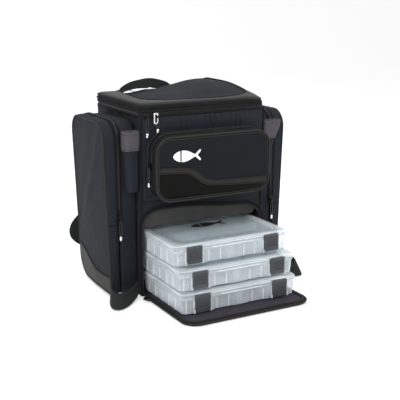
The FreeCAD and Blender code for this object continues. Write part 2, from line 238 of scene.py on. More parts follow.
def buildPebble():
    tree, given, out = newGroup("pebbleGrain", [("Tone", "NodeSocketColor", (0.05, 0.05, 0.05, 1)),
            ("Grain Size", "NodeSocketFloat", 0.002),
                                ("Roughness", "NodeSocketFloat", 0.55)],
                                [("Tone", "NodeSocketColor"), ("Roughness", "NodeSocketFloat"),
                                ("Height", "NodeSocketFloat")])
    place, u, v, up = faceCoordinates(tree)
    cells = tree.nodes.new("ShaderNodeTexVoronoi")
    tree.links.new(place, cells.inputs["Vector"])
    tree.links.new(mathNode(tree, "DIVIDE", 1.0, given.outputs["Grain Size"]), cells.inputs["Scale"])
    spot = cells.outputs["Distance"]
    haze = cloudy(tree, place, 25.0, 4.0)
    gain = mathNode(tree, "ADD", mathNode(tree, "MULTIPLY_ADD", haze, 0.4, 0.62),
            mathNode(tree, "MULTIPLY", spot, 0.3))
    scaleTone(tree, given, gain, out)
    tree.links.new(mathNode(tree, "MULTIPLY_ADD", mathNode(tree, "SUBTRACT", haze, 0.5), 0.3,
            given.outputs["Roughness"]), out.inputs["Roughness"])
    tree.links.new(mathNode(tree, "SUBTRACT", 1.0, spot), out.inputs["Height"])
    return tree


wovenCloth = buildWeave()
ribbedWebbing = buildRibs()
lightDust = buildDust()
pebbleGrain = buildPebble()


def startMaterial(name, **fixed):
    made = bpy.data.materials.new(name)
    made.use_nodes = True
    tree = made.node_tree
    shader = tree.nodes["Principled BSDF"]
    for socket, value in fixed.items():
        shader.inputs[socket.replace("_", " ")].default_value = value
    return made, tree, shader


def addBump(tree, shader, height, strength, distance):
    bump = tree.nodes.new("ShaderNodeBump")
    bump.inputs["Strength"].default_value = strength
    bump.inputs["Distance"].default_value = distance
    tree.links.new(height, bump.inputs["Height"])
    tree.links.new(bump.outputs["Normal"], shader.inputs["Normal"])


def placeGroup(tree, group, **values):
    node = tree.nodes.new("ShaderNodeGroup")
    node.node_tree = group
    for label, value in values.items():
        node.inputs[label.replace("_", " ")].default_value = value
    return node


def dustOver(tree, shader, source, dust):
    worn = placeGroup(tree, lightDust, Amount=dust)
    tree.links.new(source.outputs["Tone"], worn.inputs["Tone"])
    tree.links.new(worn.outputs["Tone"], shader.inputs["Base Color"])


def clothMaterial(name, tone, thread=0.0011, spread=0.6, rough=0.72, dust=0.015):
    made, tree, shader = startMaterial(name, Sheen_Weight=0.01, Sheen_Roughness=0.4, Specular_IOR_Level=0.12)
    weave = placeGroup(tree, wovenCloth, Tone=(*tone, 1), Thread_Size=thread, Tone_Spread=spread,
            Roughness=rough)
    dustOver(tree, shader, weave, dust)
    tree.links.new(weave.outputs["Roughness"], shader.inputs["Roughness"])
    addBump(tree, shader, weave.outputs["Height"], 0.5, 0.0004)
    return made


def webMaterial(name, tone, rib=0.0016, dust=0.02):
    made, tree, shader = startMaterial(name, Roughness=0.72, Sheen_Weight=0.01, Specular_IOR_Level=0.15)
    ribs = placeGroup(tree, ribbedWebbing, Tone=(*tone, 1), Rib_Size=rib)
    dustOver(tree, shader, ribs, dust)
    addBump(tree, shader, ribs.outputs["Height"], 0.6, 0.0005)
    return made


def grainMaterial(name, tone, size=0.002, rough=0.5, metal=0.0, bump=0.4, depth=0.0003, dust=0.03, shine=0.5):
    made, tree, shader = startMaterial(name, Metallic=metal, Specular_IOR_Level=shine)
    grain = placeGroup(tree, pebbleGrain, Tone=(*tone, 1), Grain_Size=size, Roughness=rough)
    dustOver(tree, shader, grain, dust)
    tree.links.new(grain.outputs["Roughness"], shader.inputs["Roughness"])
    addBump(tree, shader, grain.outputs["Height"], bump, depth)
    return made


def clearMaterial(name, tone, solid, edge):
    made, tree, shader = startMaterial(name, IOR=1.49, Coat_Weight=0.3, Coat_Roughness=0.08, Metallic=0.0)
    place = tree.nodes.new("ShaderNodeTexCoord").outputs["Object"]
    haze = cloudy(tree, place, 30.0, 3.0)
    streak = cloudy(tree, place, 110.0, 2.0)
    tree.links.new(mixColour(tree, haze, (tone[0] * 0.94, tone[1] * 0.96, tone[2] * 0.98, 1), (*tone, 1)),
            shader.inputs["Base Color"])
    tree.links.new(mathNode(tree, "MULTIPLY_ADD", streak, 0.16, 0.1), shader.inputs["Roughness"])
    rim = tree.nodes.new("ShaderNodeLayerWeight")
    rim.inputs["Blend"].default_value = 0.35
    cover = mathNode(tree, "MULTIPLY_ADD", rim.outputs["Facing"], edge, solid)
    tree.links.new(mathNode(tree, "MULTIPLY_ADD", haze, 0.06, cover), shader.inputs["Alpha"])
    addBump(tree, shader, haze, 0.12, 0.0008)
    return made


finishes = {
    "navy": (0.0135, 0.0163, 0.0215), "lidNavy": (0.0140, 0.0163, 0.0220),
    "pocketNavy": (0.0065, 0.0076, 0.0105),
    "black": (0.0055, 0.0058, 0.0066), "binding": (0.0070, 0.0068, 0.0070),
    "piping": (0.0260, 0.0260, 0.0235),
    "coated": (0.0330, 0.0335, 0.0325), "patch": (0.0035, 0.0035, 0.0032), "strip": (0.0115, 0.0115, 0.0100),
    "lining": (0.0380, 0.0330, 0.0460), "grosgrain": (0.0700, 0.0640, 0.0760),
    "webbing": (0.0175, 0.0195, 0.0190),
    "mesh": (0.0080, 0.0085, 0.0095), "zipTape": (0.0075, 0.0066, 0.0076), "latch": (0.0360, 0.0395, 0.0450),
    "metal": (0.72, 0.72, 0.72), "slider": (0.012, 0.012, 0.012), "print": (0.82, 0.82, 0.82),
}
navyCloth = clothMaterial("navyCloth", finishes["navy"])
lidCloth = clothMaterial("lidCloth", finishes["lidNavy"], rough=0.7)
pocketCloth = clothMaterial("pocketCloth", finishes["pocketNavy"], rough=0.7)
blackCloth = clothMaterial("blackCloth", finishes["black"], thread=0.0009)
innerCloth = clothMaterial("innerCloth", (0.011, 0.012, 0.014), thread=0.0008, dust=0.02)
liningCloth = clothMaterial("liningCloth", finishes["lining"], thread=0.0007, spread=0.3, rough=0.85,
        dust=0.04)
bindingTape = webMaterial("bindingTape", finishes["binding"], rib=0.0011)
greyPiping = webMaterial("greyPiping", finishes["piping"], rib=0.0011)
grosgrain = webMaterial("grosgrain", finishes["grosgrain"], rib=0.0014, dust=0.06)
webbing = webMaterial("webbing", finishes["webbing"])
zipTape = webMaterial("zipTape", finishes["zipTape"], rib=0.0009)
coatedCloth = grainMaterial("coatedCloth", finishes["coated"], size=0.0021, rough=0.5, bump=0.55,
        depth=0.0005, dust=0.04, shine=0.24)
scuffCloth = grainMaterial("scuffCloth", (0.0300, 0.0300, 0.0280), size=0.0024, rough=0.6, bump=0.6,
        depth=0.0006, dust=0.06, shine=0.2)
patchRubber = grainMaterial("patchRubber", finishes["patch"], size=0.0028, rough=0.60, bump=0.5,
        depth=0.0006, shine=0.07)
stripRubber = grainMaterial("stripRubber", finishes["strip"], size=0.0016, rough=0.55, shine=0.2)
airMesh = grainMaterial("airMesh", finishes["mesh"], size=0.0032, rough=0.85, bump=1.0, depth=0.0012,
        dust=0.04, shine=0.15)
latchPlastic = grainMaterial("latchPlastic", finishes["latch"], size=0.0009, rough=0.42, bump=0.15, dust=0.02)
blackPlastic = grainMaterial("blackPlastic", (0.012, 0.012, 0.012), size=0.0009, rough=0.35, bump=0.12,
        dust=0.03)
sliderPaint = grainMaterial("sliderPaint", finishes["slider"], size=0.0012, rough=0.3, metal=0.6, bump=0.1)
brightMetal = grainMaterial("brightMetal", finishes["metal"], size=0.0015, rough=0.24, metal=1.0,
        bump=0.08, dust=0.02)
whitePrint = grainMaterial("whitePrint", finishes["print"], size=0.0012, rough=0.6, bump=0.1, dust=0.02)
darkPrint = grainMaterial("darkPrint", (0.012, 0.012, 0.013), size=0.0012, rough=0.5, bump=0.1, dust=0.02)
boxPlastic = clearMaterial("boxPlastic", (0.84, 0.895, 0.935), 0.22, 0.42)
lidPlastic = clearMaterial("lidPlastic", (0.70, 0.78, 0.81), 0.22, 0.46)
panelPlastic = clearMaterial("panelPlastic", (0.46, 0.55, 0.59), 0.40, 0.40)
# a brighter, more opaque copy of the clear plastic: the moulded ribs, partly lit by a painted highlight, and
# on the lid's bevel and step rows only a painted highlight
ribAndHighlightPlastic = clearMaterial("ribAndHighlightPlastic", (0.88, 0.92, 0.94), 0.36, 0.4)
flapLining = clothMaterial("flapLining", (0.058, 0.057, 0.055), thread=0.0009, spread=0.5, dust=0.05)
dividerPlastic = clearMaterial("dividerPlastic", (0.82, 0.88, 0.90), 0.22, 0.4)
floorPaper, floorTree, floorShader = startMaterial("floorPaper", Roughness=0.6,
        Emission_Color=(1, 1, 1, 1), Emission_Strength=light["floorGlow"])
floorShade = cloudy(floorTree, floorTree.nodes.new("ShaderNodeTexCoord").outputs["Object"], 2.0)
floorTree.links.new(mixColour(floorTree, floorShade, light["floorTone"], (0.85, 0.85, 0.855, 1)),
        floorShader.inputs["Base Color"])
print("materials made")


# mesh tools
def newPiece(name, verts, faces, materials, picks=None, smooth=True):
    mesh = bpy.data.meshes.new(name)
    mesh.from_pydata([tuple(v) for v in verts], [], faces)
    for item in materials:
        mesh.materials.append(item)
    if picks:
        mesh.polygons.foreach_set("material_index", picks)
    mesh.polygons.foreach_set("use_smooth", [smooth] * len(mesh.polygons))
    body = bmesh.new()
    body.from_mesh(mesh)
    bmesh.ops.recalc_face_normals(body, faces=body.faces)
    body.to_mesh(mesh)
    body.free()
    piece = bpy.data.objects.new(name, mesh)
    scene.collection.objects.link(piece)
    return piece


def subdivide(piece):
    soften = piece.modifiers.new("soften", "SUBSURF")
    soften.levels = 1
    soften.render_levels = 1
    return piece


def applyModifiers(piece):
    ready = piece.evaluated_get(bpy.context.evaluated_depsgraph_get())
    mesh = bpy.data.meshes.new_from_object(ready)
    piece.modifiers.clear()
    piece.data = mesh


def roundLoop(u0, u1, v0, v1, radii, sideSteps=16, cornerSteps=7):
    spots = ((u0, v0, 180, 1, 1), (u1, v0, 270, -1, 1), (u1, v1, 0, -1, -1), (u0, v1, 90, 1, -1))
    arcs = []
    for (u, v, start, su, sv), radius in zip(spots, radii):
        r = max(radius, 0.0004)
        arcs.append([(u + su * r + r * math.cos(math.radians(start + 90 * k / cornerSteps)),
                      v + sv * r + r * math.sin(math.radians(start + 90 * k / cornerSteps)))
                      for k in range(cornerSteps + 1)])
    points = []
    for k in range(4):
        points.extend(arcs[k])
        a, b = arcs[k][-1], arcs[(k + 1) % 4][0]
        points.extend([(a[0] + (b[0] - a[0]) * i / sideSteps, a[1] + (b[1] - a[1]) * i / sideSteps)
                for i in range(1, sideSteps)])
    return points


def gridCap(verts, faces, ring, turn, shape):
    # closes a four-sided loop with a square grid, each new point passed through shape
    steps = len(ring) // 4
    foot = [ring[(turn + k) % len(ring)] for k in range(steps + 1)]
    right = [ring[(turn + steps + k) % len(ring)] for k in range(steps + 1)]
    head = [ring[(turn + 3 * steps - k) % len(ring)] for k in range(steps + 1)]
    left = [ring[(turn + 4 * steps - k) % len(ring)] for k in range(steps + 1)]
    rows = [foot]
    for r in range(1, steps):
        row = [left[r]]
        for c in range(1, steps):
            u, v = c / steps, r / steps
            a, b, d, e = (Vector(verts[k]) for k in (foot[c], head[c], left[r], right[r]))
            corners = [Vector(verts[k]) for k in (foot[0], foot[-1], head[0], head[-1])]
            spot = a * (1 - v) + b * v + d * (1 - u) + e * u - (corners[0] * (1 - u) * (1 - v) + corners[1]
                    * u * (1 - v) + corners[2] * (1 - u) * v + corners[3] * u * v)
            verts.append(shape(spot))
            row.append(len(verts) - 1)
        rows.append(row + [right[r]])
    rows.append(head)
    for r in range(steps):
        for c in range(steps):
            faces.append((rows[r][c], rows[r][c + 1], rows[r + 1][c + 1], rows[r + 1][c]))


def ringLoft(name, rings, materials, pick=None, capStart=False, capEnd=False, turn=4):
    count = len(rings[0])
    verts = [p for ring in rings for p in ring]
    faces, picks = [], []
    for row in range(len(rings) - 1):
        for col in range(count):
            a, b = row * count + col, row * count + (col + 1) % count
            faces.append((a, b, b + count, a + count))
            picks.append(pick(row, col) if pick else 0)
    for wanted, row in ((capStart, 0), (capEnd, len(rings) - 1)):
        if callable(wanted):
            before = len(faces)
            gridCap(verts, faces, [row * count + col for col in range(count)], turn, wanted)
            picks.extend([pick(min(row, len(rings) - 2), 0) if pick else 0] * (len(faces) - before))
        elif wanted:
            middle = sum((Vector(p) for p in rings[row]), Vector()) / count
            verts.append(middle)
            for col in range(count):
                faces.append((row * count + col, row * count + (col + 1) % count, len(verts) - 1))
                picks.append(pick(min(row, len(rings) - 2), col) if pick else 0)
    return newPiece(name, verts, faces, materials, picks)


def doubleGrid(name, outer, inner, materials, wrap=False):
    rows, cols = len(outer), len(outer[0])
    verts = [p for row in outer for p in row] + [p for row in inner for p in row]
    half = rows * cols
    faces = []
    span = cols if wrap else cols - 1
    for r in range(rows - 1):
        for c in range(span):
            n = (c + 1) % cols
            faces.append((r * cols + c, r * cols + n, (r + 1) * cols + n, (r + 1) * cols + c))
            faces.append((half + r * cols + c, half + (r + 1) * cols + c, half + (r + 1) * cols + n,
                    half + r * cols + n))
    for c in range(span):
        n = (c + 1) % cols
        for r in (0, rows - 1):
            faces.append((r * cols + c, r * cols + n, half + r * cols + n, half + r * cols + c))
    if not wrap:
        for r in range(rows - 1):
            for c in (0, cols - 1):
                faces.append((r * cols + c, (r + 1) * cols + c, half + (r + 1) * cols + c,
                        half + r * cols + c))
    return newPiece(name, verts, faces, materials)


def smoothPath(points, steps=8):
    line = [Vector(p) for p in points]
    count = len(line)
    made = []
    for k in range(count - 1):
        a, b, c, d = line[max(k - 1, 0)], line[k], line[k + 1], line[min(k + 2, count - 1)]
        for i in range(steps):
            t = i / steps
            made.append(0.5 * ((2 * b) + (c - a) * t + (2 * a - 5 * b + 4 * c - d) * t * t
                    + (3 * b - a - 3 * c + d) * t ** 3))
    return made + [line[-1]]


def tangents(path, closed):
    count = len(path)
    made = []
    for k in range(count):
        a = path[(k - 1) % count] if closed else path[max(k - 1, 0)]
        b = path[(k + 1) % count] if closed else path[min(k + 1, count - 1)]
        made.append((Vector(b) - Vector(a)).normalized())
    return made


def sweep(name, path, profile, material, side=(0, 0, 1), closed=False):
    # the profile's first axis lies along side, its second across both side and path
    path = [Vector(p) for p in path]
    rings = []
    for k, (spot, along) in enumerate(zip(path, tangents(path, closed))):
        lean = Vector(side[k] if isinstance(side, list) else side)
        first = (lean - along * lean.dot(along)).normalized()
        second = along.cross(first)
        rings.append([spot + first * a + second * b for a, b in profile])
    if closed:
        rings.append(rings[0])
    made = ringLoft(name, rings, [material], capStart=not closed, capEnd=not closed)
    if closed:
        body = bmesh.new()
        body.from_mesh(made.data)
        bmesh.ops.remove_doubles(body, verts=body.verts, dist=1e-6)
        body.to_mesh(made.data)
        body.free()
    return made


def circle(radius, sides=10):
    return [(radius * math.cos(2 * math.pi * k / sides), radius * math.sin(2 * math.pi * k / sides))
            for k in range(sides)]


def bandProfile(width, thick):
    w, t = width / 2, thick / 2
    return [(-w, -t * 0.4), (-w * 0.96, -t), (-w * 0.5, -t * 0.9), (0, -t), (w * 0.5, -t * 0.9),
            (w * 0.96, -t), (w, -t * 0.4),
            (w, t * 0.4), (w * 0.96, t), (w * 0.5, t * 0.9), (0, t), (-w * 0.5, t * 0.9), (-w * 0.96, t),
            (-w, t * 0.4)]


def alongPath(path, pitch, closed=False):
    # evenly spaced (place, direction) pairs
    line = [Vector(p) for p in path] + ([Vector(path[0])] if closed else [])
    made, left = [], pitch / 2
    for a, b in zip(line, line[1:]):
        length = (b - a).length
        if length < 1e-9:
            continue
        while left <= length:
            made.append((a + (b - a) * (left / length), (b - a) / length))
            left += pitch
        left -= length
    return made


def chips(name, spots, sizes, material):
    # small rounded blocks: spots are (place, direction, normal), sizes are length, width, height
    verts, faces = [], []
    length, width, tall = (s / 2 for s in sizes)
    for place, along, normal in spots:
        across = along.cross(normal).normalized()
        base = len(verts)
        for high, pinch in ((-1, 1.0), (0.3, 1.0), (1, 0.6)):
            for u, v in ((-1, -1), (1, -1), (1, 1), (-1, 1)):
                verts.append(place + along * u * length * pinch + across * v * width * pinch + normal
                        * high * tall)
        for k in range(4):
            n = (k + 1) % 4
            faces.append((base + k, base + n, base + 4 + n, base + 4 + k))
            faces.append((base + 4 + k, base + 4 + n, base + 8 + n, base + 8 + k))
        faces.append((base, base + 3, base + 2, base + 1))
        faces.append((base + 8, base + 9, base + 10, base + 11))
    return newPiece(name, verts, faces, [material], smooth=False)


def joinPieces(name, pieces):
    # several meshes into one piece, keeping each one's materials
    whole = bmesh.new()
    materials = []
    for item in pieces:
        part = bmesh.new()
        part.from_mesh(item.data)
        picks = [materials.index(m) if m in materials else (materials.append(m) or len(materials) - 1)
                for m in item.data.materials]
        for face in part.faces:
            face.material_index = picks[face.material_index]
        spare = bpy.data.meshes.new("spare")
        part.to_mesh(spare)
        part.free()
        whole.from_mesh(spare)
        bpy.data.meshes.remove(spare)
        bpy.data.objects.remove(item)
    mesh = bpy.data.meshes.new(name)
    whole.to_mesh(mesh)
    whole.free()
    for item in materials:
        mesh.materials.append(item)
    made = bpy.data.objects.new(name, mesh)
    scene.collection.objects.link(made)
    return made


stitch = {"pitch": 0.0042, "size": (0.0028, 0.0006, 0.0005)}
tooth = {"pitch": 0.0026, "size": (0.0011, 0.0034, 0.0013), "lidSize": (0.0011, 0.0028, 0.0013)}
coil = {"pitch": 0.0013, "size": (0.0009, 0.0032, 0.0014), "offset": 0.0009}


def stitchRun(name, path, normal, material, closed=False):
    spots = []
    for place, along in alongPath(path, stitch["pitch"], closed):
        up = Vector(normal(place) if callable(normal) else normal)
        up = (up - along * up.dot(along)).normalized()
        spots.append((place, along, up))
    return chips(name, spots, stitch["size"], material)


def zipChain(name, path, normal):
    # two rows of nylon teeth that mesh along the path
    spots = []
    for number, (place, along) in enumerate(alongPath(path, coil["pitch"])):
        up = Vector(normal(place) if callable(normal) else normal)
        up = (up - along * up.dot(along)).normalized()
        across = along.cross(up)
        spots.append((place + across * (coil["offset"] if number % 2 else -coil["offset"]), along, up))
    return chips(name, spots, coil["size"], blackPlastic)


def mirrored(piece, name):
    mesh = piece.data.copy()
    for v in mesh.vertices:
        v.co.x = -v.co.x
    mesh.flip_normals()
    twin = bpy.data.objects.new(name, mesh)
    scene.collection.objects.link(twin)
    for item in piece.modifiers:
        copy = twin.modifiers.new(item.name, item.type)
        copy.levels = item.levels
        copy.render_levels = item.render_levels
    return twin


def ripple(x, y, z, seed=0.0):
    return noise.noise(Vector((x + seed, y - seed * 0.7, z + seed * 0.3)))


def crease(x, y, z, seed=0.0):
    # sharp-backed folds, 0 to 1
    return (1 - abs(ripple(x, y, z, seed)) * 2.2) if abs(ripple(x, y, z, seed)) < 0.45 else 0.0


def ramp(value, low, high):
    t = min(max((value - low) / (high - low), 0.0), 1.0)
    return t * t * (3 - 2 * t)


def give(piece, body, slotName, *nodes):
    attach(piece, body)
    if nodes:
        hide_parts(*nodes)
    return piece


def span(node):
    low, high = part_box(node)
    return (*low, *high)


def rumple(piece, depth, scale, seed=0.0, keep=None):
    for v in piece.data.vertices:
        amount = depth * (keep(v.co) if keep else 1.0)
        if amount:
            v.co += noise.noise_vector(v.co * scale + Vector((seed, seed * 0.7, -seed))) * amount
    return piece


# body shell: side walls and rear wall in one bent sheet
shell = {"thick": 0.0045, "rearRadius": 0.016, "rows": 44, "fold": 0.0022}
_, frontEnd, _, _, _, wallTop = span("left_side_wall")
_, _, _, rightX, rearY, _ = span("rear_wall")


def wallPlan(inset):
    r = shell["rearRadius"]
    half, back, front = rightX - inset, rearY - inset, frontEnd - 0.003
    side = [(half, front + (back - r - front) * k / 26) for k in range(27)]
    bend = [(half - r + r * math.cos(math.radians(90 * k / 6)),
            back - r + r * math.sin(math.radians(90 * k / 6))) for k in range(1, 7)]
    rear = [(half - r - 2 * (half - r) * k / 34, back) for k in range(1, 34)]
    return side + bend + rear + [(-x, y) for x, y in reversed(bend)] + [(-x, y) for x, y in reversed(side)]


def shellRows(inset):
    rows = []
    for r in range(shell["rows"] + 1):
        z = 0.003 + (wallTop - 0.003) * r / shell["rows"]
        rows.append([(x, y, z) for x, y in wallPlan(inset)])
    return rows


bodyShell = doubleGrid("bodyShell", shellRows(0), shellRows(shell["thick"]), [navyCloth])
rumple(bodyShell, shell["fold"], 16.0, 3.0, lambda p: ramp(p.z, 0.33, 0.37)
        if abs(p.x) > 0.12 and p.y < rearY - 0.015 else 0.25)
for v in bodyShell.data.vertices:  # slanted folds under the lid at each side
    if abs(v.co.x) > 0.135 and v.co.z > 0.30:
        drift = math.sin((v.co.y * 0.8 + v.co.z * 1.1) * 120) * 0.0018 + math.sin((v.co.y + v.co.z * 0.6)
                * 55) * 0.0030
        v.co.x -= math.copysign(abs(drift) * ramp(v.co.z, 0.30, 0.36) * ramp(wallTop - v.co.z, 0.0, 0.012),
                v.co.x)
subdivide(bodyShell)
give(bodyShell, "pack", "navy_fabric", "left_side_wall", "right_side_wall", "rear_wall")

# front panel above the opening, wrapped round both front edges
front = {"radius": 0.009, "thick": 0.004, "wrap": 0.016, "rows": 34, "pucker": 0.0030}
_, fy0, fz0, fx1, _, fz1 = span("front_panel")


def frontPlan(inset):
    r = front["radius"]
    half, face = fx1 + 0.0006 - inset, fy0 + inset
    side = [(half, face + r + (front["wrap"] - r) * (1 - k / 3)) for k in range(4)]
    bend = [(half - r + r * math.cos(math.radians(90 * k / 5)),
            face + r - r * math.sin(math.radians(90 * k / 5))) for k in range(1, 6)]
    face = [(half - r - 2 * (half - r) * k / 120, face) for k in range(1, 120)]
    return side + bend + face + [(-x, y) for x, y in reversed(bend)] + [(-x, y) for x, y in reversed(side)]


def frontRows(inset):
    rows = []
    for r in range(front["rows"] + 1):
        z = fz0 + (fz1 - fz0) * r / front["rows"]
        row = []
        for x, y in frontPlan(inset):
            swell = 0
            if y < fy0 + 0.012:
                spread = math.exp(-((x - 0.012) / 0.017) ** 2) + 0.5 * math.exp(-((x
                        + 0.055) / 0.02) ** 2) + 0.5 * math.exp(-((x - 0.085) / 0.02) ** 2)
                swell = math.sin((x - 0.004) * 520 + z * 60) * front["pucker"] * spread * ramp(z, 0.352,
                        0.366) * (1 - ramp(z, 0.38, 0.394))
                swell += -0.0030 * ramp(z, 0.350, 0.372) * (1 - ramp(z, 0.374, 0.395)) * (1 - (x / 0.15) ** 4)
            row.append((x, y + swell, z))
        rows.append(row)
    return rows


frontPanel = doubleGrid("frontPanel", frontRows(0), frontRows(front["thick"]), [navyCloth])
rumple(frontPanel, 0.0012, 22.0, 5.0)
subdivide(frontPanel)
give(frontPanel, "pack", "navy_fabric", "front_panel")

# binding along the front upright edges and round the foot
edgeLine = smoothPath([(-0.1494, -0.1160, 0.006), (-0.1496, -0.1165, 0.10), (-0.1496, -0.1170, 0.205),
        (-0.1498, -0.1205, 0.216), (-0.1500, -0.1216, 0.30), (-0.1496, -0.1216, 0.394)], 8)
leftEdge = sweep("leftEdgeBinding", edgeLine, circle(0.0019, 8), bindingTape, (1, 0, 0))
give(mirrored(leftEdge, "rightEdgeBinding"), "pack", "binding")
give(leftEdge, "pack", "binding")
footLoop = roundLoop(-0.1492, 0.1492, -0.1145, rearY - 0.0005, (0.004, 0.004, 0.016, 0.016), 14, 5)
footBinding = sweep("footBinding", [(x, y, 0.0075) for x, y in footLoop], circle(0.0021, 8), bindingTape,
        (0, 0, 1), closed=True)
give(footBinding, "pack", "binding")

# opening: a turned hem round the doorway with its zip half
opening = {"innerX": 0.1435, "top": 0.190, "corner": 0.038, "arc": 12, "sag": 0.0145, "bulge": 0.0045}
_, oy0, oz0, ox1, oy1, oz1 = span("opening_frame")


def archLine(half, top, r):
    # inverted U in x and z
    left = [(-half, oz0 + (top - r - oz0) * k / 18) for k in range(19)]
    turn = [(-half + r - r * math.cos(math.radians(90 * k / opening["arc"])),
            top - r + r * math.sin(math.radians(90 * k / opening["arc"])))
            for k in range(1, opening["arc"] + 1)]
    line = left + turn + [(-half + r + (half - r) * k / 16, top) for k in range(1, 17)]
    return line + [(-x, z) for x, z in reversed(line[:-1])]


def doorwayLine(grow):
    # grown outwards from the doorway's edge, and sagging to the right
    line = archLine(opening["innerX"] + grow, opening["top"] + grow, opening["corner"] + grow * 0.6)
    return [(x, z - opening["sag"] * ramp(x, -0.07, 0.14) * ramp(z, 0.10, 0.17)) for x, z in line]


def bellyOut(piece):
    # the foot of the bag pushes its front corners a little outwards
    for v in piece.data.vertices:
        push = opening["bulge"] * ramp(-v.co.y, 0.080,
                0.108) * (1 - ramp(v.co.z, 0.17, 0.23)) * ramp(abs(v.co.x), 0.12, 0.14)
        v.co.x += math.copysign(push, v.co.x)
    return piece


def doorwayOuter():
    made = []
    for x, z in archLine(opening["innerX"], opening["top"], opening["corner"]):
        if z <= opening["top"] - opening["corner"] + 1e-6:
            made.append((math.copysign(ox1 - 0.0008, x), z))
        elif abs(x) <= opening["innerX"] - opening["corner"] + 1e-6:
            made.append((x, oz1 + 0.002))
        else:
            t = math.degrees(math.atan2(z - (opening["top"] - opening["corner"]),
                    abs(x) - (opening["innerX"] - opening["corner"]))) / 90
            made.append((math.copysign(ox1 - 0.0008, x), oz1 + 0.002 - (0.5 - t) * 2 * (oz1 - 0.15))
                    if t < 0.5 else
                        (math.copysign(ox1 - 0.0008 - (t - 0.5) * 2 * (ox1 - 0.103), x), oz1 + 0.002))
    return made


inner, outer = doorwayLine(0), doorwayOuter()
hemRows, hemBack = [], []
for k in range(8):
    t = k / 7
    bulge = 0.0016 * math.sin(math.pi * min(t * 2.2, 1.0))
    hemRows.append([(a[0] + (b[0] - a[0]) * t, oy0 - 0.0006 - bulge, a[1] + (b[1] - a[1]) * t) for a,
            b in zip(inner, outer)])
    hemBack.append([(a[0] + (b[0] - a[0]) * t, oy1, a[1] + (b[1] - a[1]) * t) for a, b in zip(inner, outer)])
doorwayHem = doubleGrid("doorwayHem", hemRows, hemBack, [navyCloth])
rumple(bellyOut(doorwayHem), 0.0010, 20.0, 8.0)
subdivide(doorwayHem)
give(doorwayHem, "pack", "navy_fabric", "opening_frame")
tapeA, tapeB = doorwayLine(-0.0012), doorwayLine(0.0062)
doorwayTape = doubleGrid("doorwayZipTape", [[(x, -0.1176, z) for x, z in tapeA],
        [(x, -0.1180, z) for x, z in doorwayLine(0.0025)], [(x, -0.1176, z) for x, z in tapeB]],
                         [[(x, -0.1164, z) for x, z in tapeA],
                         [(x, -0.1164, z) for x, z in doorwayLine(0.0025)],
                         [(x, -0.1164, z) for x, z in tapeB]], [zipTape])
give(bellyOut(doorwayTape), "pack", "binding")
give(bellyOut(zipChain("doorwayZipTeeth", [(x, -0.1180, z) for x, z in doorwayLine(-0.0002)], (0, -1, 0))),
        "pack", "zip_metal")
doorwayBead = sweep("doorwayBead", [(x, -0.1178, z) for x, z in doorwayLine(0.0066)], circle(0.0016, 8),
        bindingTape, (0, 1, 0))
give(bellyOut(doorwayBead), "pack", "binding")
give(bellyOut(stitchRun("doorwayStitching", [(x, -0.1184, z) for x, z in doorwayLine(0.0042)], (0, -1, 0),
        blackCloth)), "pack", "binding")
innerFlap = {"start": 0.158, "foot": 0.1510, "front": -0.1132, "curl": 0.0060, "wave": 0.0012, "narrow": 0.02}
hangTop = [p for p in doorwayLine(0.0010) if p[1] > innerFlap["start"]]
hangRows = []
for r in range(11):
    curl = innerFlap["curl"] * math.sin(1.4 * r / 10)
    hangRows.append([(x * (1 - innerFlap["narrow"] * r / 10),
            innerFlap["front"] + curl + innerFlap["wave"] * math.sin(x * 130) * r / 10,
            z + (innerFlap["foot"] - z) * r / 10) for x, z in hangTop])
hemFlap = doubleGrid("doorwayInnerFlap", hangRows,
        [[(x, y + 0.0010, z) for x, y, z in row] for row in hangRows], [flapLining])
rumple(hemFlap, 0.0014, 28.0, 9.0)
give(subdivide(hemFlap), "pack", "binding")
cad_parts["base_board"].data.materials[0] = innerCloth
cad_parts["divider_shelf"].data.materials[0] = innerCloth
print("body, front panel and doorway made")


# side pockets: a fixed tub, and a flap above its seam; only the flap's outer zip half is attached to the
# flap's body
pocket = {"crown": 0.0045, "wall": 0.003, "seam": 0.166, "zipX": 0.1905,
        "corners": (0.014, 0.046, 0.042, 0.042), "footLean": 0.0125, "rearLean": 0.0055, "ridge": 0.0030}
_, py0, pz0, _, py1, pz1 = span("left_pocket_body")
px0, px1 = 0.1502, 0.2230
pMidY, pMidZ = (py0 + py1) / 2, (pz0 + pz1) / 2


def pocketLoop(inset, sideSteps=26, cornerSteps=9):
    radii = [max(r - inset, 0.001) for r in pocket["corners"]]
    return roundLoop(py0 + inset, py1 - inset, pz0 + inset, pz1 - inset, radii, sideSteps, cornerSteps)


def pocketFace(y, z):
    u, w = (y - pMidY) / (py1 - pMidY), (z - pMidZ) / (pz1 - pMidZ)
    crown = pocket["crown"] * (1 - min(abs(u), 1) ** 3) * (1 - min(abs(w), 1) ** 4)
    ridgeY = -0.060 + 0.42 * (0.33 - z) + 0.9 * (0.33 - z) ** 2  # one long soft fold, slanting down and back
    fold = pocket["ridge"] * math.exp(-((y - ridgeY) / 0.014) ** 2) * (1 - min(abs(w), 1) ** 4)
    fold -= 0.6 * pocket["ridge"] * math.exp(-((y - ridgeY - 0.030) / 0.020) ** 2) * (1 - min(abs(w), 1) ** 4)
    return -(px1 + crown + fold * (1 - min(abs(u), 1) ** 6) + 0.0012 * ripple(y * 13, z * 8, 2.0))


def leanIn(piece):
    # below its top and towards the rear the pocket is less deep
    for v in piece.data.vertices:
        deep = max(abs(v.co.x) - pocket["zipX"], 0) / (px1 - pocket["zipX"])
        amount = pocket["footLean"] * (1 - v.co.z / pz1) + pocket["rearLean"] * ramp(v.co.y, -0.02, py1)
        v.co.x -= math.copysign(deep * amount, v.co.x)
    return piece


def gussetRing(x, inset):
    return [(-x, y, z) for y, z in pocketLoop(inset)]


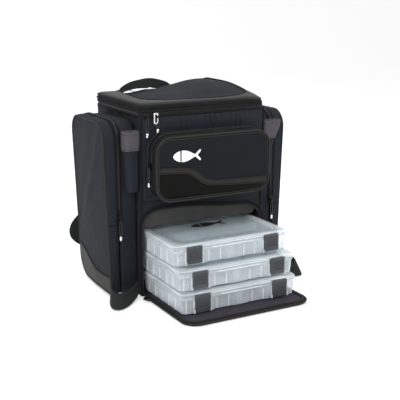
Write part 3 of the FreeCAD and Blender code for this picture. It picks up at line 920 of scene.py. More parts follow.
def pocketGusset(name, x0, x1, swell):
    # a bowed strip running right round the pocket
    outerRings, innerRings = [], []
    for k in range(9):
        t = k / 8
        x = x0 + (x1 - x0) * t
        grow = -swell * math.sin(math.pi * t)
        outerRings.append(gussetRing(x, 0.0006 + grow + swell))
        innerRings.append(gussetRing(x, 0.0006 + grow + swell + pocket["wall"]))
    return doubleGrid(name, outerRings, innerRings, [navyCloth], wrap=True)


leftInner = pocketGusset("leftPocketGusset", px0, pocket["zipX"] - 0.0012, 0.0010)
rumple(leftInner, 0.0016, 24.0, 11.0, lambda p: 0.4 + 0.6 * ramp(-p.x, 0.155, 0.17)
        * (1 - ramp(-p.x, 0.178, 0.188)))
subdivide(leftInner)

faceRings = [gussetRing(pocket["zipX"] + 0.0012, 0.0008), gussetRing(0.200, 0.0),
        gussetRing(0.211, 0.0002), gussetRing(0.2185, 0.0006), gussetRing(0.2216, 0.0018)]
for inset in (0.0042, 0.008, 0.013):
    faceRings.append([(pocketFace(y, z), y, z) for y, z in pocketLoop(inset)])
backRings = [[(p[0] + 0.0022, p[1], p[2]) for p in ring] for ring in reversed(faceRings[5:])]
backRings += [gussetRing(0.2185, pocket["wall"] + 0.001), gussetRing(0.200, pocket["wall"]),
        gussetRing(pocket["zipX"] + 0.0012, pocket["wall"] + 0.0008)]
leftFace = ringLoft("leftPocketFace", backRings + faceRings, [navyCloth],
        capStart=lambda p: (pocketFace(p.y, p.z) + 0.0022, p.y, p.z),
        capEnd=lambda p: (pocketFace(p.y, p.z), p.y, p.z))
rumple(leftFace, 0.0012, 20.0, 14.0)
subdivide(leftFace)

beadLoop = [(-(px1 + 0.0008), y, z) for y, z in pocketLoop(0.0030)]
leftBead = sweep("leftPocketPiping", beadLoop, circle(0.0020, 8), greyPiping, (1, 0, 0), closed=True)
ridgeLoop = [(-0.1985, y, z) for y, z in pocketLoop(-0.0004)]
leftRidge = sweep("leftPocketSideRidge", ridgeLoop, circle(0.0011, 6), bindingTape, (1, 0, 0), closed=True)
backLoop = [(-(px0 + 0.0035), y, z) for y, z in pocketLoop(-0.0002)]
leftBackBead = sweep("leftPocketBackPiping", backLoop, circle(0.0016, 6), bindingTape, (1, 0, 0), closed=True)


def zipArc(x, inset, low):
    # the part of the pocket's outline above low, from the front, over the top, to the back
    loop = [p for p in pocketLoop(inset, 60, 14)]
    start = next(k for k in range(len(loop)) if loop[k][1] > low and loop[k
            - 1][1] <= low and loop[k][0] > pMidY)
    turned = loop[start:] + loop[:start]
    return [(-x, y, z) for y, z in turned if z > low][::-1]


def tapeOver(name, x0, x1, low, lift, material):
    lines = [zipArc(x0, -lift, low), zipArc((x0 + x1) / 2, -lift - 0.0003, low), zipArc(x1, -lift, low)]
    under = [zipArc(x0, -lift + 0.001, low), zipArc((x0 + x1) / 2, -lift + 0.001, low),
            zipArc(x1, -lift + 0.001, low)]
    count = min(len(line) for line in lines + under)
    return doubleGrid(name, [line[:count] for line in lines], [line[:count] for line in under], [material])


def loopNormal(place):
    y, z = place.y, place.z
    cy = min(max(y, py0 + 0.042), py1 - 0.042)
    cz = min(z, pz1 - 0.042)
    return Vector((0, y - cy, z - cz)) if abs(y - cy) + abs(z - cz) > 0.001 else Vector((0, 0, 1))


def halfTeeth(name, x, lift, low, phase):
    spots = []
    for place, along in alongPath(zipArc(x, -lift, low), tooth["pitch"]):
        spots.append((place + along * phase, along, loopNormal(place).normalized()))
    return chips(name, spots, tooth["size"], blackPlastic)


leftInnerTape = tapeOver("leftPocketInnerZipTape", 0.1845, pocket["zipX"] - 0.0006, 0.168, 0.0006, zipTape)
leftOuterTape = tapeOver("leftPocketOuterZipTape", pocket["zipX"] + 0.0006, 0.1960, 0.190, 0.0010, zipTape)
leftInnerTeeth = halfTeeth("leftPocketInnerTeeth", pocket["zipX"] - 0.0008, 0.0012, 0.176, 0.0)
leftOuterTeeth = halfTeeth("leftPocketOuterTeeth", pocket["zipX"] + 0.0008, 0.0012, 0.190, 0.0013)


# worn patches at the foot of each side pocket
def scuffTop(y):
    t = (y - py0) / (py1 - py0)
    return 0.046 + 0.032 * ramp(t, 0.35, 1.0) - 0.003 * math.sin(t * 6)


def pocketFoot(y, inset):
    low = pz0 + inset
    if y < py0 + 0.014:
        r = 0.014 - inset
        return low + r - math.sqrt(max(r * r - (py0 + 0.014 - y) ** 2, 0))
    if y > py1 - 0.046:
        r = 0.046 - inset
        return low + r - math.sqrt(max(r * r - (y - py1 + 0.046) ** 2, 0))
    return low


def scuffRows(lift, inset):
    rows = []
    for r in range(11):
        row = []
        for c in range(45):
            y = py0 + inset + (py1 - py0 - 2 * inset) * c / 44
            low, high = pocketFoot(y, inset), scuffTop(y)
            z = low + (max(high, low + 0.0005) - low) * r / 10
            edge = min(r, 10 - r, c, 44 - c)
            row.append((pocketFace(y, z) - lift * (1.0 if edge > 0 else 0.3), y, z))
        rows.append(row)
    return rows


leftScuff = doubleGrid("leftPocketScuffPatch", scuffRows(0.0016, 0.0048), scuffRows(-0.0006, 0.0048),
        [scuffCloth])
scuffSeam = sweep("leftPocketScuffSeam", [(pocketFace(y, scuffTop(y)) - 0.0011, y, scuffTop(y))
        for y in [py0 + 0.005 + (py1 - py0 - 0.01) * k / 40 for k in range(41)]],
                  bandProfile(0.0042, 0.0016), bindingTape, (0, 0, 1))
seamLine = sweep("leftPocketFoldSeam", [(-0.1925 - 0.0285 * k / 12, py0 + 0.0002, pocket["seam"] - 0.0045)
        for k in range(13)],
                 bandProfile(0.0022, 0.0012), bindingTape, (0, 0, 1))
leftSeams = joinPieces("leftPocketSeams", [scuffSeam, seamLine])

for item, body, slotName, nodes in ((leftInner, "pack", "navy_fabric", ("left_pocket_body",)),
        (leftInnerTape, "pack", "binding", ()), (leftInnerTeeth, "pack", "zip_metal", ()),
                                    (leftOuterTape, "left_flap", "binding", ()),
                                    (leftOuterTeeth, "left_flap", "zip_metal", ()),
                                    (leftBackBead, "pack", "binding", ()),
                                    (leftScuff, "pack", "coated_cloth", ("scuff_panels",)),
                                    (leftSeams, "pack", "binding", ()),
                                    (leftFace, None, "navy_fabric", ("left_pocket_flap",)),
                                    (leftBead, None, "binding", ("left_flap_piping",)),
                                    (leftRidge, None, "binding", ())):
    twin = mirrored(leanIn(item), item.name.replace("left", "right"))
    for piece, side in ((item, "left"), (twin, "right")):
        if body:
            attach(piece, body.replace("left", side))
        else:
            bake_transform(piece)
        if nodes:
            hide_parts(*[n.replace("left", side) for n in nodes])
print("side pockets made")


# rod sleeves on the front corners, each with a stiff woven mouth
sleeve = {"wall": 0.0024, "flare": 0.55, "flareFrom": 0.315, "flareTo": 0.355}
sx0, sy0, sz0, sx1, sy1, sz1 = span("left_rod_sleeve")


def sleeveRing(z, inset):
    # narrower below the mouth, and drawn in at the foot
    t = (z - sz0) / (sz1 - sz0)
    slim = 0.0045 * (1 - ramp(z, 0.300, 0.322)) + 0.003 * (1 - ramp(z, sz0, sz0 + 0.02)) + inset
    loop = roundLoop(sx0 + slim, sx1 - inset - 0.0006, sy0 + slim * 0.6 + inset * 0.4, sy1 - inset,
            (0.011, 0.009, 0.006, 0.008), 7, 5)
    return [(x, y + 0.0008 * math.sin(z * 150 + x * 60), z) for x, y in loop]


sleeveOut = [sleeveRing(sz0 + (sz1 - 0.002 - sz0) * k / 22, 0) for k in range(23)]
sleeveIn = [sleeveRing(sz0 + 0.004 + (sz1 - 0.002 - sz0 - 0.004) * k / 14, sleeve["wall"])
        for k in reversed(range(15))]
leftSleeve = ringLoft("leftRodSleeve", sleeveOut + sleeveIn, [navyCloth], capStart=True, capEnd=True)
rumple(leftSleeve, 0.0015, 30.0, 21.0, lambda p: 1 - ramp(p.z, 0.30, 0.33))
subdivide(leftSleeve)
bandOut = [sleeveRing(z, -0.0012) for z in (0.3215, 0.323, 0.335, 0.347, 0.3585, 0.3612)]
bandIn = [sleeveRing(z, 0.0026) for z in (0.3612, 0.352, 0.344)]
leftMouth = ringLoft("leftRodSleeveMouth", bandOut + bandIn, [grosgrain])
subdivide(leftMouth)
mouthStitch = joinPieces("leftSleeveStitching",
        [stitchRun("stitchA", sleeveRing(0.3245, -0.0014), lambda p: (p.x + 0.1675, p.y + 0.108, 0),
        blackCloth, closed=True),
                                                stitchRun("stitchB", sleeveRing(0.3560, -0.0014),
                                                lambda p: (p.x + 0.1675, p.y + 0.108, 0), blackCloth,
                                                closed=True)])
for item, slotName, nodes in ((leftSleeve, "navy_fabric", ("left_rod_sleeve",)),
        (leftMouth, "binding", ()), (mouthStitch, "binding", ())):
    twin = mirrored(item, item.name.replace("left", "right"))
    for v in twin.data.vertices:  # the right mouth stands open wider
        v.co.x += max(v.co.x - 0.158, 0) * sleeve["flare"] * ramp(v.co.z, sleeve["flareFrom"],
                sleeve["flareTo"])
    give(item, "pack", slotName, *nodes)
    give(twin, "pack", slotName, *[n.replace("left", "right") for n in nodes])

# webbing stirrups low on each front corner
stirrup = {"thick": 0.0026, "bands": 8}
footEdge = smoothPath([(-0.1618, -0.1165, 0.006), (-0.176, -0.134, 0.004), (-0.203, -0.158, 0.002),
        (-0.227, -0.1690, 0.002), (-0.2375, -0.158, 0.003), (-0.2300, -0.130, 0.004),
        (-0.2120, -0.100, 0.006)], 7)
headEdge = smoothPath([(-0.1618, -0.1160, 0.040), (-0.178, -0.130, 0.034), (-0.204, -0.143, 0.031),
        (-0.221, -0.1480, 0.031), (-0.2290, -0.139, 0.038), (-0.2210, -0.118, 0.036),
        (-0.2060, -0.096, 0.041)], 7)
bandNear, bandFar = [], []
for r in range(stirrup["bands"] + 1):
    t = r / stirrup["bands"]
    line = [a + (b - a) * t for a, b in zip(footEdge, headEdge)]
    bandNear.append([tuple(p) for p in line])
    bandFar.append([tuple(p + along.cross(Vector((0, 0, 1))).normalized() * -stirrup["thick"]) for p,
            along in zip(line, tangents(line, False))])
leftStirrup = doubleGrid("leftStirrup", bandNear, bandFar, [webbing])
rumple(leftStirrup, 0.0008, 26.0, 31.0)
subdivide(leftStirrup)
rightStirrup = mirrored(leftStirrup, "rightStirrup")
give(leftStirrup, "pack", "webbing", "stirrup_loops")
give(rightStirrup, "pack", "webbing", "stirrup_loops")
print("rod sleeves and stirrups made")


# front pocket: bowed gusset on the pack, and a flap that drops forward
frontPocket = {"crown": 0.0034, "corner": 0.036, "wall": 0.003, "flare": 0.030}
qx0, qy0, qz0, qx1, qy1, qz1 = span("front_pocket_gusset")
_, ry0, _, _, ry1, _ = span("front_pocket_flap")
qMidZ = (qz0 + qz1) / 2


def frontLoop(inset, sideSteps=26, cornerSteps=9):
    r = max(frontPocket["corner"] - inset, 0.001)
    return roundLoop(qx0 + inset, qx1 - inset, qz0 + inset, qz1 - inset, (r, r, r, r), sideSteps, cornerSteps)


def frontFace(x, z):
    u, w = x / qx1, (z - qMidZ) / (qz1 - qMidZ)
    crown = frontPocket["crown"] * (1 - min(abs(u), 1) ** 4) * (1 - min(abs(w), 1) ** 3)
    return ry0 - crown - 0.0009 * ripple(x * 14, z * 16, 5.0)


def frontRing(y, inset):
    return [(x, y, z) for x, z in frontLoop(inset)]


gussetOut, gussetIn = [], []
for k in range(8):
    t = k / 7
    y = qy1 + (qy0 - qy1) * t
    sink = 0.0016 * math.sin(math.pi * t)
    gussetOut.append(frontRing(y, 0.0008 + sink))
    gussetIn.append(frontRing(y, 0.0008 + sink + frontPocket["wall"]))
frontGusset = doubleGrid("frontPocketGusset", gussetOut, gussetIn, [blackCloth], wrap=True)
rumple(frontGusset, 0.0012, 28.0, 41.0)
subdivide(frontGusset)
give(frontGusset, "pack", "navy_fabric", "front_pocket_gusset")
flapRings = [frontRing(ry1 - 0.0004, 0.0008), frontRing(ry1 - 0.008, 0.0002), frontRing(ry1 - 0.016, 0.0),
        frontRing(ry0 + 0.0045, 0.0006), frontRing(ry0 + 0.0014, 0.0018)]
for inset in (0.0040, 0.0075, 0.012):
    flapRings.append([(x, frontFace(x, z), z) for x, z in frontLoop(inset)])
flapBack = [[(p[0], p[1] + 0.0024, p[2]) for p in ring] for ring in reversed(flapRings[5:])]
flapBack += [frontRing(ry0 + 0.005, frontPocket["wall"] + 0.001),
        frontRing(ry1 - 0.008, frontPocket["wall"]), frontRing(ry1 - 0.0004, frontPocket["wall"] + 0.0008)]
frontFlap = ringLoft("frontPocketFlap", flapBack + flapRings, [pocketCloth],
        capStart=lambda p: (p.x, frontFace(p.x, p.z) + 0.0024, p.z),
        capEnd=lambda p: (p.x, frontFace(p.x, p.z), p.z))
rumple(frontFlap, 0.0009, 18.0, 43.0)
subdivide(frontFlap)
give(frontFlap, "front_flap", "navy_fabric", "front_pocket_flap")
rims = [sweep("rimA", [(x, frontFace(x, z) - 0.0008, z) for x, z in frontLoop(0.0030)], circle(0.0017, 8),
        greyPiping, (0, 1, 0), closed=True),
        sweep("rimB", [(x, frontFace(x, z) - 0.0002, z) for x, z in frontLoop(0.0078)], circle(0.0010, 6),
        greyPiping, (0, 1, 0), closed=True),
        sweep("rimC", [(x, frontFace(x, z) - 0.0003, z) for x, z in frontLoop(0.0056)],
        bandProfile(0.0040, 0.0010), bindingTape,
              [Vector((x, 0, z - qMidZ)).normalized() for x, z in frontLoop(0.0056)], closed=True)]
frontRim = joinPieces("frontPocketPiping", rims)
give(frontRim, "front_flap", "binding", "front_pocket_piping")
backRim = sweep("frontPocketBackPiping", frontRing(qy1 - 0.0016, -0.0004), circle(0.0017, 8), greyPiping,
        (0, 1, 0), closed=True)
give(backRim, "pack", "binding")


def frontZipLine(y, grow, low):
    loop = frontLoop(-grow, 60, 12)
    start = next(k for k in range(len(loop)) if loop[k][1] > low and loop[k - 1][1] <= low and loop[k][0] > 0)
    turned = loop[start:] + loop[:start]
    return [(x, y, z) for x, z in turned if z > low][::-1]


def frontLoopNormal(place):
    cx, cz = min(max(place.x, qx0 + 0.036), qx1 - 0.036), min(max(place.z, qz0 + 0.036), qz1 - 0.036)
    return Vector((place.x - cx, 0, place.z - cz))


def frontTape(name, y0, y1, low):
    lines = [frontZipLine(y, 0.0007 + lift, low) for y, lift in ((y0, 0), ((y0 + y1) / 2, 0.0003), (y1, 0))]
    under = [frontZipLine(y, -0.0006, low) for y in (y0, (y0 + y1) / 2, y1)]
    count = min(len(line) for line in lines + under)
    return doubleGrid(name, [line[:count] for line in lines], [line[:count] for line in under], [zipTape])


def frontTeeth(name, y, low, phase):
    spots = [(place + along * phase, along, frontLoopNormal(place).normalized()) for place,
            along in alongPath(frontZipLine(y, 0.0012, low), tooth["pitch"])]
    return chips(name, spots, tooth["size"], blackPlastic)


give(frontTape("frontPocketInnerZipTape", -0.1360, -0.1410, 0.236), "pack", "binding")
give(frontTape("frontPocketOuterZipTape", -0.1420, -0.1470, 0.236), "front_flap", "binding")
give(frontTeeth("frontPocketInnerTeeth", -0.1407, 0.236, 0.0), "pack", "zip_metal")
give(frontTeeth("frontPocketOuterTeeth", -0.1423, 0.236, 0.0013), "front_flap", "zip_metal")
hingeRows = [[(x, y, 0.2142 - 0.0012 * math.sin(math.pi * k / 6))
        for x in [-0.098 + 0.196 * c / 24 for c in range(25)]] for k,
        y in enumerate([-0.1385 - 0.006 * k / 6 for k in range(7)])]
hingeBack = [[(x, y, z + 0.0012) for x, y, z in row] for row in hingeRows]
frontHinge = doubleGrid("frontPocketHinge", hingeRows, hingeBack, [blackCloth])
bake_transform(frontHinge)

# rubbery foot patch with a raised wave along its top
wave = {"top": [(-0.130, 0.2895), (-0.100, 0.2880), (-0.066, 0.2850), (-0.050, 0.2795), (-0.036, 0.2690),
        (-0.022, 0.2590), (-0.006, 0.2535), (0.030, 0.2515), (0.080, 0.2500), (0.130, 0.2480)],
        "foot": [(-0.130, 0.2775), (-0.100, 0.2765), (-0.072, 0.2740), (-0.057, 0.2690), (-0.044, 0.2600),
        (-0.031, 0.2510), (-0.014, 0.2440), (0.030, 0.2400), (0.080, 0.2370), (0.130, 0.2330)]}


def waveAt(points, x):
    for a, b in zip(points, points[1:]):
        if x <= b[0]:
            t = (x - a[0]) / (b[0] - a[0])
            return a[1] + (b[1] - a[1]) * t
    return points[-1][1]


wave["top"] = [(p.x, p.z) for p in smoothPath([(x, 0, z) for x, z in wave["top"]], 6)]
wave["foot"] = [(p.x, p.z) for p in smoothPath([(x, 0, z) for x, z in wave["foot"]], 6)]


def frontFoot(x, inset):
    r = frontPocket["corner"] - inset
    over = max(abs(x) - (qx1 - frontPocket["corner"]), 0)
    return qz0 + inset + r - math.sqrt(max(r * r - over * over, 0))


def patchRows(low, high, lift, count):
    rows = []
    for r in range(count + 1):
        row = []
        for c in range(97):
            x = -0.1272 + 0.2544 * c / 96
            a, b = low(x), high(x)
            z = a + max(b - a, 0.0002) * r / count
            edge = 0.35 if r in (0, count) or c in (0, 96) else 1.0
            row.append((x, frontFace(x, z) - lift * edge, z))
        rows.append(row)
    return rows


low, mid, high = (lambda x: frontFoot(x, 0.0086)), (lambda x: max(waveAt(wave["foot"], x),
        frontFoot(x, 0.0086) + 0.0004)), (lambda x: max(waveAt(wave["top"], x),
        frontFoot(x, 0.0086) + 0.0008))
footPatch = doubleGrid("frontPocketFootPatch", patchRows(low, mid, 0.0013, 9),
        patchRows(low, mid, -0.0008, 9), [patchRubber])
give(footPatch, "front_flap", "rubber_patch", "front_pocket_patch")
waveStrip = doubleGrid("frontPocketWaveStrip", patchRows(mid, high, 0.0019, 4),
        patchRows(mid, high, -0.0008, 4), [stripRubber])
waveEdges = [sweep("waveEdge", [(x, frontFace(x, z(x)) - 0.0016, z(x))
        for x in [-0.1268 + 0.2536 * k / 90 for k in range(91)]], circle(0.0008, 6), greyPiping, (0, 1, 0))
             for z in (mid, high)]
waveBand = joinPieces("frontPocketWave", [waveStrip] + waveEdges)
give(waveBand, "front_flap", "rubber_patch")


# a plain fish outline, the same simple mark on each printed surface
def fishMark(name, length, height, place, material):
    thick = 0.0005
    outline = [(0.0, 0.0), (0.05, 0.42), (0.14, 0.74), (0.26, 0.95), (0.38, 1.0), (0.50, 0.90),
            (0.62, 0.66), (0.73, 0.34), (0.80, 0.20), (0.86, 0.42), (0.93, 0.78), (1.0, 1.0)]
    verts, faces = [], []

    def strip(points):
        for a, (t, low, high) in enumerate(points):
            base = len(verts)
            for lift in (thick, 0.0):
                verts.append(place(t * length, low * height / 2, lift))
                verts.append(place(t * length, high * height / 2, lift))
            if a:
                faces.extend([(base - 4, base, base + 1, base - 3), (base - 2, base - 1, base + 3, base + 2),
                              (base - 4, base - 2, base + 2, base), (base - 3, base + 1, base + 3, base - 1)])
            if a in (0, len(points) - 1):
                faces.append((base, base + 1, base + 3, base + 2))

    head = [(t, -h, h) for t, h in outline if t <= 0.26]
    body = [(t, -h, h) for t, h in outline if 0.30 < t <= 0.80]
    body.insert(0, (0.31, -0.97, 0.97))
    strip(head)
    strip(body)
    strip([(0.80, -0.20, 0.20), (0.86, -0.45, 0.45), (0.90, -0.66, 0.66)])
    strip([(0.90, 0.08, 0.66), (0.95, 0.36, 0.88), (1.0, 0.62, 1.0)])
    strip([(0.90, -0.66, -0.08), (0.95, -0.88, -0.36), (1.0, -1.0, -0.62)])
    return newPiece(name, verts, faces, [material], smooth=False)


def flareOut(piece):
    # the padded flap stands a little wider than the zip behind it
    for v in piece.data.vertices:
        v.co.x *= 1 + frontPocket["flare"] * ramp(-v.co.y, 0.1480, 0.1580)
    return piece


frontMark = fishMark("frontPocketFish", 0.062, 0.024, lambda u, w,
        lift: (-0.098 + u, frontFace(-0.098 + u, 0.311 + w) - 0.0011 - lift, 0.311 + w), whitePrint)
give(frontMark, "front_flap", "navy_fabric")
for piece in (frontFlap, frontRim, footPatch, waveBand, frontMark):
    flareOut(piece)
print("front pocket made")


# lid: skirt, rounded edge and a soft crown in one sheet, lined underneath
lid = {"crown": 0.0060, "bulge": 0.0212, "slope": 0.044, "corner": 0.014, "lining": 0.410}
lx0, ly0, lz0, lx1, ly1, _ = span("lid_skirt")
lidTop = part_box("lid_border_band")[0][2]


def lidBulge(x, y):
    # the lid is pushed up at its right and rear, edge and all
    across = ramp(x, -0.03, 0.115) * (1 - 0.25 * ramp(x, 0.118, 0.150))
    corner = 0.0050 * math.exp(-((x - 0.150) ** 2 + (y + 0.123) ** 2) / 0.028 ** 2)
    return lid["bulge"] * across * ramp(y, -0.128, 0.030) * (1 - 0.2 * ramp(y, 0.090, 0.122)) - corner


def lidRise(x, y, z):
    return (x, y, z + lidBulge(x, y) * ramp(z, 0.400, 0.4146))


def lidHeight(x, y):
    rise = ramp(0.117 - abs(x), 0, lid["slope"] + 0.01) * ramp(y + 0.090, 0,
            lid["slope"] + 0.008) * ramp(ly1 + 0.001 - y, 0, lid["slope"] + 0.01)
    drop = 0.0022 * ramp(max(abs(x) / 0.15, abs(y - (ly0 + ly1) / 2) / ((ly1 - ly0) / 2)), 0.86, 1.0)
    return lidTop + 0.0006 + lidBulge(x, y) + lid["crown"] * rise - drop + 0.0009 * ripple(x * 11, y * 11,
            9.0)


def lidLoop(inset):
    r = max(lid["corner"] - inset * 0.6, 0.004)
    return roundLoop(lx0 + inset, lx1 - inset, ly0 + inset, ly1 - inset, (r, r, r, r), 26, 6)


lidRings = [[(x, y, lid["lining"]) for x, y in lidLoop(0.05)],
        [(x, y, lid["lining"]) for x, y in lidLoop(0.012)],
        [(x, y, lid["lining"] - 0.002) for x, y in lidLoop(0.0062)],
            [(x, y, lz0 + 0.002) for x, y in lidLoop(0.0055)],
            [(x, y, lz0 + 0.0004) for x, y in lidLoop(0.0045)],
            [(x, y, lz0 + 0.0004) for x, y in lidLoop(0.0016)]]
skirtRing = len(lidRings)
for z, inset in ((0.3985, 0.0008), (0.403, 0.0002), (0.408, 0.0004), (0.4115, 0.0011), (0.4142, 0.0030)):
    lidRings.append([lidRise(x, y, z) for x, y in lidLoop(inset)])
for inset in (0.0065, 0.010, 0.014):
    lidRings.append([(x, y, lidHeight(x, y)) for x, y in lidLoop(inset)])
lidShell = ringLoft("lidShell", lidRings, [lidCloth, liningCloth, bindingTape], pick=lambda row,
        col: 1 if row < 3 else 2 if row < skirtRing + 3 else 0,
                    capStart=True, capEnd=lambda p: (p.x, p.y, lidHeight(p.x, p.y)), turn=3)
rumple(lidShell, 0.0014, 15.0, 51.0, lambda p: 1.0 if p.z > 0.405 else 0.3)
subdivide(lidShell)
give(lidShell, "lid", "navy_fabric", "lid_panel", "lid_skirt")

# coated border laid over the lid's edge; its inner edge is a sewn curve
seamPoints = [(-0.098, 0.116), (-0.101, 0.080), (-0.1115, 0.010), (-0.1165, -0.046), (-0.1050, -0.0755),
        (-0.0770, -0.0955), (-0.034, -0.1040), (0.012, -0.1065),
              (0.068, -0.1060), (0.106, -0.0960), (0.1300, -0.0760), (0.1395, -0.046), (0.1375, 0.010),
              (0.1310, 0.070), (0.1280, 0.116)]
seamCurve = smoothPath([(x, y, 0) for x, y in seamPoints], 8)


def borderOuter(count):
    # the lid's edge from its rear left, round the front, to its rear right
    edge = 0.0052
    line = [(lx0 + edge, 0.116 - (0.116 - ly0 - 0.014) * k / 30) for k in range(31)]
    line += [(lx0 + 0.014 - 0.0088 * math.cos(math.radians(9 * k)),
            ly0 + 0.014 - 0.0088 * math.sin(math.radians(9 * k))) for k in range(1, 11)]
    line += [(lx0 + 0.014 + (lx1 - lx0 - 0.028) * k / 44, ly0 + edge) for k in range(1, 45)]
    line += [(lx1 - 0.014 + 0.0088 * math.sin(math.radians(9 * k)),
            ly0 + 0.014 - 0.0088 * math.cos(math.radians(9 * k))) for k in range(1, 11)]
    line += [(lx1 - edge, ly0 + 0.014 + (0.116 - ly0 - 0.014) * k / 30) for k in range(1, 31)]
    line = [Vector((x, y, 0)) for x, y in line]
    lengths = [0.0]
    for a, b in zip(line, line[1:]):
        lengths.append(lengths[-1] + (b - a).length)
    made, at = [], 0
    for k in range(count):
        want = lengths[-1] * k / (count - 1)
        while at < len(line) - 2 and lengths[at + 1] < want:
            at += 1
        made.append(line[at] + (line[at + 1] - line[at])
                * ((want - lengths[at]) / max(lengths[at + 1] - lengths[at], 1e-9)))
    return made


def evenly(path, count):
    path = [Vector(p) for p in path]
    total = sum((b - a).length for a, b in zip(path, path[1:]))
    return [place for place, along in alongPath(path, total / count)][:count]


edgeLineLid = evenly(borderOuter(240), 150)
seamLineLid = evenly(seamCurve, 150)
borderTop, borderUnder = [], []
for r in range(9):
    t = r / 8
    row, low = [], []
    for a, b in zip(edgeLineLid, seamLineLid):
        x, y = a.x + (b.x - a.x) * t, a.y + (b.y - a.y) * t
        lift = 0.0018 if 0 < r < 8 else 0.0008
        row.append((x, y, lidHeight(x, y) + lift))
        low.append((x, y, lidHeight(x, y) - 0.0012))
    borderTop.append(row)
    borderUnder.append(low)
lidBorder = doubleGrid("lidBorder", borderTop, borderUnder, [coatedCloth])
give(lidBorder, "lid", "coated_cloth", "lid_border_band")
lidSeam = sweep("lidSeamPiping", [(p.x, p.y, lidHeight(p.x, p.y) + 0.0016) for p in seamLineLid],
        circle(0.0015, 8), bindingTape, (0, 0, 1))
give(lidSeam, "lid", "binding")
give(stitchRun("lidSeamStitching", [(a.x + (b.x - a.x) * 0.93, a.y + (b.y - a.y) * 0.93,
        lidHeight(a.x + (b.x - a.x) * 0.93, a.y + (b.y - a.y) * 0.93) + 0.0021) for a,
        b in zip(edgeLineLid, seamLineLid)],
               (0, 0, 1), blackCloth), "lid", "binding")
give(sweep("lidEdgePiping", [lidRise(x, y, 0.4146) for x, y in lidLoop(0.0022)], circle(0.0017, 8),
        greyPiping, (0, 0, 1), closed=True), "lid", "binding")
give(sweep("lidSkirtRidge", [lidRise(x, y, 0.4082) for x, y in lidLoop(0.0000)], circle(0.0012, 6),
        bindingTape, (0, 0, 1), closed=True), "lid", "binding")


def lidRun(grow, z):
    # the zip's path: down the left side, across the front, and back along the right
    loop = roundLoop(lx0 - grow, lx1 + grow, ly0 - grow, ly1 + grow, (0.014, 0.014, 0.014, 0.014), 40, 8)
    return [(x, y, z) for x, y in loop[-40:] + loop[:132] if y < ly1 - 0.022]


def lidZipNormal(place):
    cx, cy = min(max(place.x, lx0 + 0.014), lx1 - 0.014), max(place.y, ly0 + 0.014)
    out = Vector((place.x - cx, place.y - cy, 0))
    return out if out.length > 1e-6 else Vector((0, -1, 0))


def zipBand(name, low, high, grow):
    lines = [lidRun(grow, low), lidRun(grow + 0.0004, (low + high) / 2), lidRun(grow, high)]
    under = [lidRun(grow - 0.0012, low), lidRun(grow - 0.0012, (low + high) / 2), lidRun(grow - 0.0012, high)]
    return doubleGrid(name, lines, under, [zipTape])


give(zipBand("lidZipTape", 0.3978, 0.4035, 0.0006), "lid", "binding")
give(zipBand("bodyZipTape", 0.3885, 0.3945, 0.0012), "pack", "binding")
lidTeeth = [(place, along, lidZipNormal(place).normalized()) for place,
        along in alongPath(lidRun(0.0010, 0.3972), tooth["pitch"])]
bodyTeeth = [(place + along * 0.0013, along, lidZipNormal(place).normalized()) for place,
        along in alongPath(lidRun(0.0010, 0.3952), tooth["pitch"])]
give(chips("lidZipTeeth", lidTeeth, tooth["lidSize"], blackPlastic), "lid", "zip_metal")
give(chips("bodyZipTeeth", bodyTeeth, tooth["lidSize"], blackPlastic), "pack", "zip_metal")
hingeCloth = doubleGrid("lidHingeCloth", [[(-0.140 + 0.28 * c / 30,
        rearY + 0.0012 + 0.0006 * math.sin(math.pi * r / 10), 0.384 + 0.024 * r / 10) for c in range(31)]
        for r in range(11)],
                        [[(-0.140 + 0.28 * c / 30, rearY - 0.0002, 0.384 + 0.024 * r / 10)
                        for c in range(31)] for r in range(11)], [navyCloth])
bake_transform(hingeCloth)
lidMark = fishMark("lidFish", 0.078, 0.027, lambda u, w,
        lift: (-0.110 + u, 0.052 + w + 0.1 * u,
        lidHeight(-0.110 + u, 0.052 + w + 0.1 * u) + 0.0026 + lift), whitePrint)
give(lidMark, "lid", "navy_fabric")
print("lid made")

# carry handle: a webbing arch, and its sewn roots on the rear wall
handle = {"sway": 0.0030}
hx0, hy0, hz0, hx1, hy1, _ = span("grab_handle")
outerArch = smoothPath([(hx0, 0, hz0), (hx0 - 0.0040, 0, 0.408), (hx0 - 0.0090, 0, 0.4200),
        (-0.0640, 0, 0.4335), (-0.0350, 0, 0.4395), (-0.002, 0, 0.4415), (0.0300, 0, 0.4350),
        (0.0500, 0, 0.4210), (hx1 + 0.0040, 0, 0.4080), (hx1, 0, hz0)], 7)
innerArch = smoothPath([(-0.0500, 0, hz0), (-0.0540, 0, 0.400), (-0.0560, 0, 0.4065), (-0.0460, 0, 0.4135),
        (-0.0260, 0, 0.4175), (-0.0050, 0, 0.4185), (0.0160, 0, 0.4140), (0.0290, 0, 0.4060),
        (0.0330, 0, 0.4000), (0.0300, 0, hz0)], 7)
handleFront, handleBack = [], []
for r in range(9):
    t = r / 8
    rowA, rowB = [], []
    for number, (a, b) in enumerate(zip(outerArch, innerArch)):
        along = number / (len(outerArch) - 1)
        sway = handle["sway"] * math.sin(math.pi * along) * (0.5 - t) * (1 if along < 0.5 else 0.4)
        edge = 0.0006 if r in (0, 8) else 0
        x, z = a.x + (b.x - a.x) * t, a.z + (b.z - a.z) * t
        rowA.append((x, hy0 + edge + sway, z))
        rowB.append((x, hy1 - edge + sway, z))
    handleFront.append(rowA)
    handleBack.append(rowB)
carryHandle = doubleGrid("carryHandle", handleFront, handleBack, [webbing])
rumple(carryHandle, 0.0016, 24.0, 61.0, lambda p: ramp(p.z, 0.398, 0.415))
subdivide(carryHandle)
give(carryHandle, "handle", "webbing", "grab_handle")
roots = []
